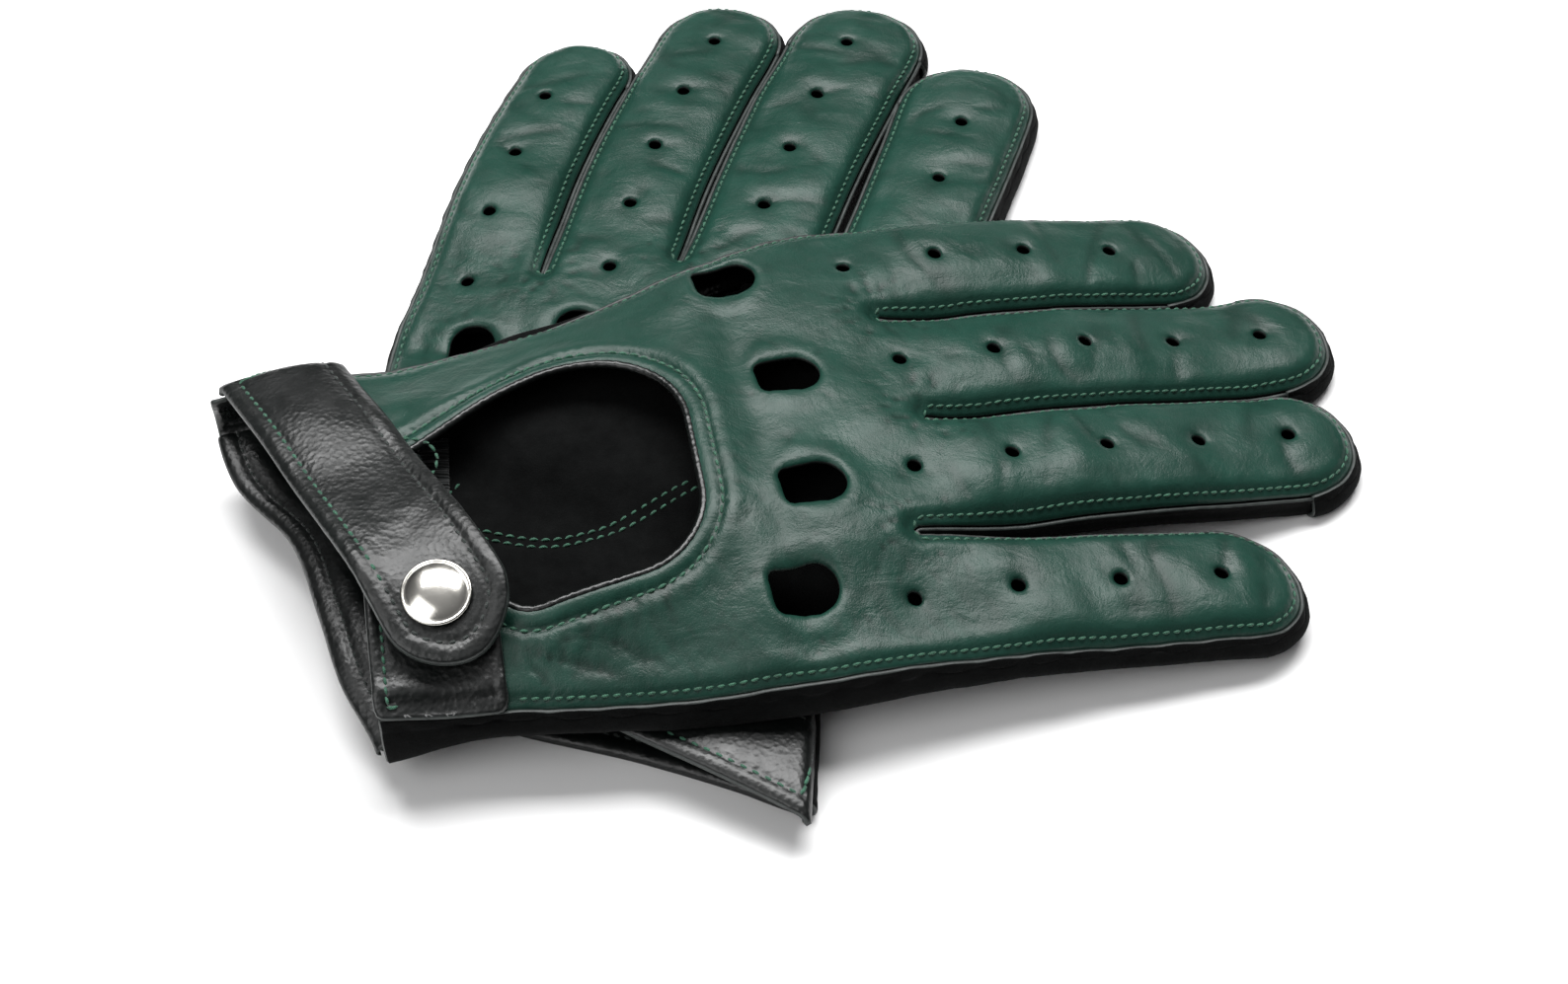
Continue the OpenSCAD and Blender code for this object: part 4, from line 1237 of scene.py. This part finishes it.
def make_strap(side):
    loop = strap_outline()
    rows = [offset_path(loop, d, True) for d in (0.4, 0.9, 1.5, 2.2, 2.8, 3.4, 4.0, 4.8)]
    flat, tris = fill(loop, (), rows, 1.0)
    u, w = flat.T
    fine = strap_outline(0.3)
    d, at = nearest(u, w, fine)
    points = strap_point(side, u, w)
    pull = 0.7 + 0.3 * np.cos(at * 0.3 / 2.3 * 2 * math.pi)
    dip = 0.30 * pull * bell(d - STRAP_STITCH, 0.65) + 0.4 * np.clip(1 - d / 1.1, 0, 1) ** 2 \
        - 0.16 * bell(d - 1.9, 0.9)
    points[:, 2] -= dip
    # painted shade along the strap's stitch groove
    fold = 0.6 * bell(d - STRAP_STITCH, 0.6)
    # the outline's turn depends on the pattern's own handedness
    area = np.cross(points[tris[:, 1]] - points[tris[:, 0]], points[tris[:, 2]] - points[tris[:, 0]])
    if area[:, 2].sum() < 0:
        tris = tris[:, ::-1]
    piece = skin(side + "_strap", side, points, [tris], STRAP_THICK, [BLACK, SUEDE, EDGE_PAINT], fold)
    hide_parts(side + "_strap", side + "_strap_base")
    cross_hinge(piece, side)
    inner = strap_outline(0.6, -STRAP_STITCH)
    inner = inner[inner[:, 0] > -STRAP_ROOT_RUN - 6]
    start = np.argmin(inner[:, 0] - inner[:, 1] * 10)
    inner = np.roll(inner, -start, 0)
    runs = {"left": inner[(inner[:, 1] < 0) & (inner[:, 0] < STRAP_RUN - 4)],
            "right": inner[(inner[:, 1] >= 0) | (inner[:, 0] >= STRAP_RUN - 4)]}
    for name, material in (("left", GREEN_THREAD), ("right", DARK_THREAD)):
        part = runs[name]
        if name == "left":
            part = part[np.argsort(part[:, 0])]
        else:
            turn = np.arctan2(part[:, 1], part[:, 0] - STRAP_RUN)
            key = np.where(part[:, 0] < STRAP_RUN, np.where(part[:, 1] > 0, part[:, 0] - 1000,
                           1000 - part[:, 0]), -turn * 10)
            part = part[np.argsort(key)]
        part = resample(part, 0.6)
        top = strap_point(side, part[:, 0], part[:, 1])
        e = 0.3
        du = strap_point(side, part[:, 0] + e, part[:, 1]) - strap_point(side, part[:, 0] - e, part[:, 1])
        dw = strap_point(side, part[:, 0], part[:, 1] + e) - strap_point(side, part[:, 0], part[:, 1] - e)
        normals = np.cross(du, dw)
        normals /= np.linalg.norm(normals, axis=1, keepdims=True)
        normals[normals[:, 2] < 0] *= -1
        row = stitch_row(top - normals * 0.22, smooth_run(normals, 5), 2.3, 1.8, 0.36)
        piece = mesh_piece("%s_strap_stitches_%s" % (side, name), local(side, row[0]), [row[1]],
                           [material], flip=side == LEFT)
        if name == "left":
            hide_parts(side + "_strap_stitching")
        cross_hinge(piece, side)


def cross_hinge(piece, side):
    """The right strap's pieces stay free of both gloves, with their placing baked into their points; the
    left ones ride on the left glove.
    """
    if side == LEFT:
        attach(piece, "left_glove")
        return
    start, end = (local(side, strap_point(side, np.array([u]), np.array([0.0])))[0]
                  for u in (-3.0, 5.0))
    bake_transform(piece)


def snap_frame(side):
    """The snap's place on the back, two directions across it and one along its axis."""
    def high(dx, dy):
        return back_z(side, SNAP[:1] + dx, SNAP[1:] + dy)[0]

    e = 5.0
    slope_x = (high(e, 0) - high(-e, 0)) / (2 * e)
    slope_y = (high(0, e) - high(0, -e)) / (2 * e)
    up = np.array([-slope_x, -slope_y, 1.0])
    up /= np.linalg.norm(up)
    u = np.cross([0.0, 1.0, 0.0], up)
    u /= np.linalg.norm(u)
    return np.array([*SNAP, high(0, 0)]), u, np.cross(up, u), up


def lathe(side, profile, sides=64):
    """A round piece on the snap's axis, from a list of (radius, height over the leather)."""
    middle, u, v, up = snap_frame(side)
    a = np.arange(sides) * 2 * math.pi / sides
    ring_dirs = u[None] * np.cos(a)[:, None] + v[None] * np.sin(a)[:, None]
    points = np.vstack([middle + up * h + ring_dirs * r for r, h in profile])
    m = len(profile)
    quads = [(i * sides + k, i * sides + (k + 1) % sides, (i + 1) * sides + (k + 1) % sides,
              (i + 1) * sides + k) for i in range(m - 1) for k in range(sides)]
    points = np.vstack([points, middle + up * profile[0][1], middle + up * profile[-1][1]])
    k = np.arange(sides)
    n = m * sides
    ends = np.vstack([np.stack([0 * k + n, (k + 1) % sides, k], 1),
                      np.stack([0 * k + n + 1, k + n - sides, (k + 1) % sides + n - sides], 1)])
    return points, [np.array(quads), ends]


def make_snap(side):
    dome = [(r * 5.55, CAP_RISE + 0.55 + (CAP_HEIGHT - 0.55) * (1 - r ** 2.3))
            for r in np.linspace(1, 0.02, 14)]
    rim = [(5.0, CAP_RISE - 0.05), (6.0, CAP_RISE), (6.22, CAP_RISE + 0.18), (6.22, CAP_RISE + 0.4),
           (6.05, CAP_RISE + 0.58), (5.82, CAP_RISE + 0.60), (5.66, CAP_RISE + 0.53)]
    shank = [(1.5, 4.3), (1.5, CAP_RISE - 0.1)]
    points, faces = lathe(side, shank + rim + dome)
    piece = mesh_piece(side + "_snap_dome", local(side, points), faces, [NICKEL], flip=side == LEFT)
    finish(piece, side, ["snap_cap"], flap=True)
    for node in ("snap_socket", "snap_stud", "snap_post"):
        thing = bpy.data.objects.get(side + "_" + node) or node_object(side + "_" + node)
        for k in range(len(thing.data.materials)):
            thing.data.materials[k] = NICKEL
        if not len(thing.data.materials):
            thing.data.materials.append(NICKEL)


def node_object(name):
    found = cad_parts[name]
    return found if isinstance(found, bpy.types.Object) else bpy.data.objects[found]


def make_hem(side):
    """The palm's turned wrist edge, with its row of black stitches."""
    ys = np.linspace(RIM[side][0][1] + 1.6, RIM[side][-1][1] - 1.6, 110)
    x0 = wrist_x(side, ys)
    profile = [(-0.1, 0.1), (-0.55, 0.35), (-0.75, 0.85), (-0.55, 1.45), (0.0, 1.9), (0.8, 2.1),
               (1.7, 2.05), (2.4, 1.95), (2.9, 1.75), (3.3, 1.72), (3.8, 1.9), (4.8, 2.0), (6.0, 1.95),
               (7.2, 1.8), (8.2, 1.55), (8.6, 1.1)]
    rows = []
    for dx, dz in profile:
        ripple = 0.10 * noise(ys / 5.0, 0 * ys + dx / 3, 80) * (dx > 0.5)
        z = palm_z(side, x0 + max(dx, 0), ys) + dz + ripple
        rows.append(np.column_stack([x0 + dx, ys, z]))
    rows = np.array(rows)
    points = rows.reshape(-1, 3)
    quads = row_quads(rows)[:, [0, 3, 2, 1]]
    if vertex_normals(points, [quads])[:, 2].mean() < 0:
        quads = quads[:, ::-1]
    piece = skin(side + "_hem", side, points, [quads], HEM_THICK, [BLACK, SUEDE, EDGE_PAINT],
                 np.zeros(len(points)))
    finish(piece, side, ["wrist_hem"])
    path = rows[HEM_GROOVE] + [0, 0, 0.1]
    row = stitch_row(path, np.tile(UP, (len(path), 1)), 2.0, 1.5)
    sew(side + "_hem_stitches", side, row, DARK_THREAD)


def make_inner_seam(side):
    """Rows of stitches inside the palm, over the thumb's seam."""
    parts = []
    for name, points in (("seam", INNER_SEAM), ("mark", INNER_MARK)):
        path = resample(spline(points), 0.6)
        for d in ((-0.9, 0.9) if name == "seam" else (0,)):
            q = offset_path(path, d)
            z = palm_z(side, q[:, 0], q[:, 1]) + LEATHER + 0.25
            parts.append(stitch_row(np.column_stack([q, z]), np.tile(UP, (len(q), 1)), 2.2))
    points, faces = join(parts)
    piece = mesh_piece(side + "_inner_seam", local(side, points), faces, [GREEN_THREAD],
                       flip=side == LEFT)
    finish(piece, side)


def make_elastic(side):
    """Gathered elastic sewn across the inside of the wrist."""
    s = np.linspace(-21.5, 21.5, 260)
    across = np.linspace(-2.8, 2.8, 7)
    turn = math.radians(-9)
    rows = []
    for w in across:
        x = 27 + w * math.cos(turn) - s * math.sin(turn)
        y = w * math.sin(turn) + s * math.cos(turn)
        z = palm_z(side, x, y) + LEATHER + 1.15 + 0.35 * np.cos(s * 2 * math.pi / 2.6)
        rows.append(np.column_stack([x, y, z]))
    rows = np.array(rows)
    points = rows.reshape(-1, 3)
    quads = row_quads(rows)
    if vertex_normals(points, [quads])[:, 2].mean() < 0:
        quads = quads[:, ::-1]
    piece = skin(side + "_elastic", side, points, [quads], HEM_THICK,
                 [ELASTIC, ELASTIC, ELASTIC], np.zeros(len(points)))
    finish(piece, side, ["wrist_elastic"])


def make_thumb(side):
    """The thumb, folded flat under the palm."""
    run = THUMB_TIP - THUMB_ROOT
    heading = math.atan2(run[1], run[0])
    loop = []
    for centre, r, a0 in ((THUMB_TIP, THUMB_HALF_WIDTH - 1.2, heading + math.pi / 2),
                          (THUMB_ROOT, THUMB_HALF_WIDTH, heading - math.pi / 2)):
        for a in np.linspace(a0, a0 - math.pi, 40):
            loop.append(centre + (r - 0.9) * np.array([math.cos(a), math.sin(a)]))
    loop = resample(loop, 1.2, closed=True)
    rows = [offset_path(loop, d, True) for d in (0.7, 1.6, 2.8)]
    flat, tris = fill(loop, (), rows, 2.0)
    d = nearest(flat[:, 0], flat[:, 1], loop)[0]
    low = base_z(side, flat[:, 0], flat[:, 1])
    round_off = 2.0 * (1 - np.sqrt(np.clip(d / 9, 0, 1) * (2 - np.clip(d / 9, 0, 1))))
    top = low + THUMB_HEIGHT - 0.35 - round_off + 0.15 * noise(flat[:, 0] / 6, flat[:, 1] / 6, 90)
    bottom = low + 0.02 + 1.1 * np.clip(1 - d / 2.0, 0, 1) ** 2
    n = len(flat)
    a = np.column_stack([flat, top])
    b = np.column_stack([flat, bottom])
    rim = np.arange(len(loop))
    # the outline's own points come first in a filled shape
    step = (rim + 1) % len(loop)
    out = offset_path(loop, -0.9, True)
    mid = np.column_stack([out, (top[rim] + bottom[rim]) / 2])
    points = np.vstack([a, b, mid])
    side_rim, side_step = rim + 2 * n, step + 2 * n
    quads = [np.stack([step, rim, side_rim, side_step], 1),
             np.stack([side_step, side_rim, rim + n, step + n], 1)]
    faces = [tris, tris[:, ::-1] + n] + quads
    piece = mesh_piece(side + "_thumb", local(side, points), faces, [SMOOTH_BLACK],
                       attribute=np.zeros(len(points)), flip=side == LEFT)
    finish(piece, side, ["thumb"])


# ---- stage ------------------------------------------------------------------------------
CAMERA_AT, CAMERA_TILT, LENS = (-0.00129, -0.33621, 0.34747), math.radians(40.883), 53.41
FLOOR_HALF, FLOOR_Z = 3.0, -0.0002
SKY = [(0.0, 0.02), (0.5, 0.05), (0.75, 0.22), (1.0, 0.45)]    # the studio's grey, from low to high


def make_stage():
    mesh = bpy.data.meshes.new("floor")
    s, z = FLOOR_HALF, FLOOR_Z
    mesh.from_pydata([(-s, -s, z), (s, -s, z), (s, s, z), (-s, s, z)], [], [(0, 1, 2, 3)])
    floor = bpy.data.objects.new("floor", mesh)
    bpy.context.scene.collection.objects.link(floor)
    paint = Shader("floor_white", (0.95, 0.95, 0.95), 0.7, specular=0.2)
    mesh.materials.append(paint.material)

    scene = bpy.context.scene
    scene.view_settings.view_transform = "Standard"
    world = bpy.data.worlds.new("studio")
    scene.world = world
    world.use_nodes = True
    nodes, links = world.node_tree.nodes, world.node_tree.links
    coords = nodes.new("ShaderNodeTexCoord")
    split = nodes.new("ShaderNodeSeparateXYZ")
    links.new(coords.outputs["Generated"], split.inputs["Vector"])
    ramp = nodes.new("ShaderNodeValToRGB")
    while len(ramp.color_ramp.elements) < len(SKY):
        ramp.color_ramp.elements.new(0.5)
    for element, (at, value) in zip(ramp.color_ramp.elements, SKY):
        element.position = at
        element.color = (value, value, value * 1.01, 1)
    links.new(split.outputs["Z"], ramp.inputs["Fac"])
    links.new(ramp.outputs["Color"], nodes["Background"].inputs["Color"])
    nodes["Background"].inputs["Strength"].default_value = 0.8

    def light(name, size, power, at, aim=(0, 0, 0.02)):
        data = bpy.data.lights.new(name, "AREA")
        data.shape = "RECTANGLE"
        data.size, data.size_y = size
        data.energy = power
        lamp = bpy.data.objects.new(name, data)
        lamp.location = at
        lamp.rotation_euler = (Vector(aim) - Vector(at)).to_track_quat("-Z", "Y").to_euler()
        scene.collection.objects.link(lamp)

    light("overhead", (0.9, 0.45), 14, (0.0, 0.34, 0.80))
    light("fill", (0.8, 0.8), 5, (-0.6, -0.6, 0.8))

    camera = bpy.data.objects.new("camera", bpy.data.cameras.new("camera"))
    camera.data.sensor_width = 36
    camera.data.lens = LENS
    camera.data.clip_start = 0.01
    camera.location = CAMERA_AT
    camera.rotation_euler = (CAMERA_TILT, 0, 0)
    scene.collection.objects.link(camera)
    scene.camera = camera


make_stage()
for side in (RIGHT, LEFT):
    back = Back(side)
    make_back(side, back)
    make_palm(side, back)
    make_thumb(side)
    seam_stitches(side, back)
    make_keyhole_edge(side, back)
    make_tab(side, back)
    make_strap(side)
    make_snap(side)
    make_hem(side)
    make_inner_seam(side)
    make_elastic(side)
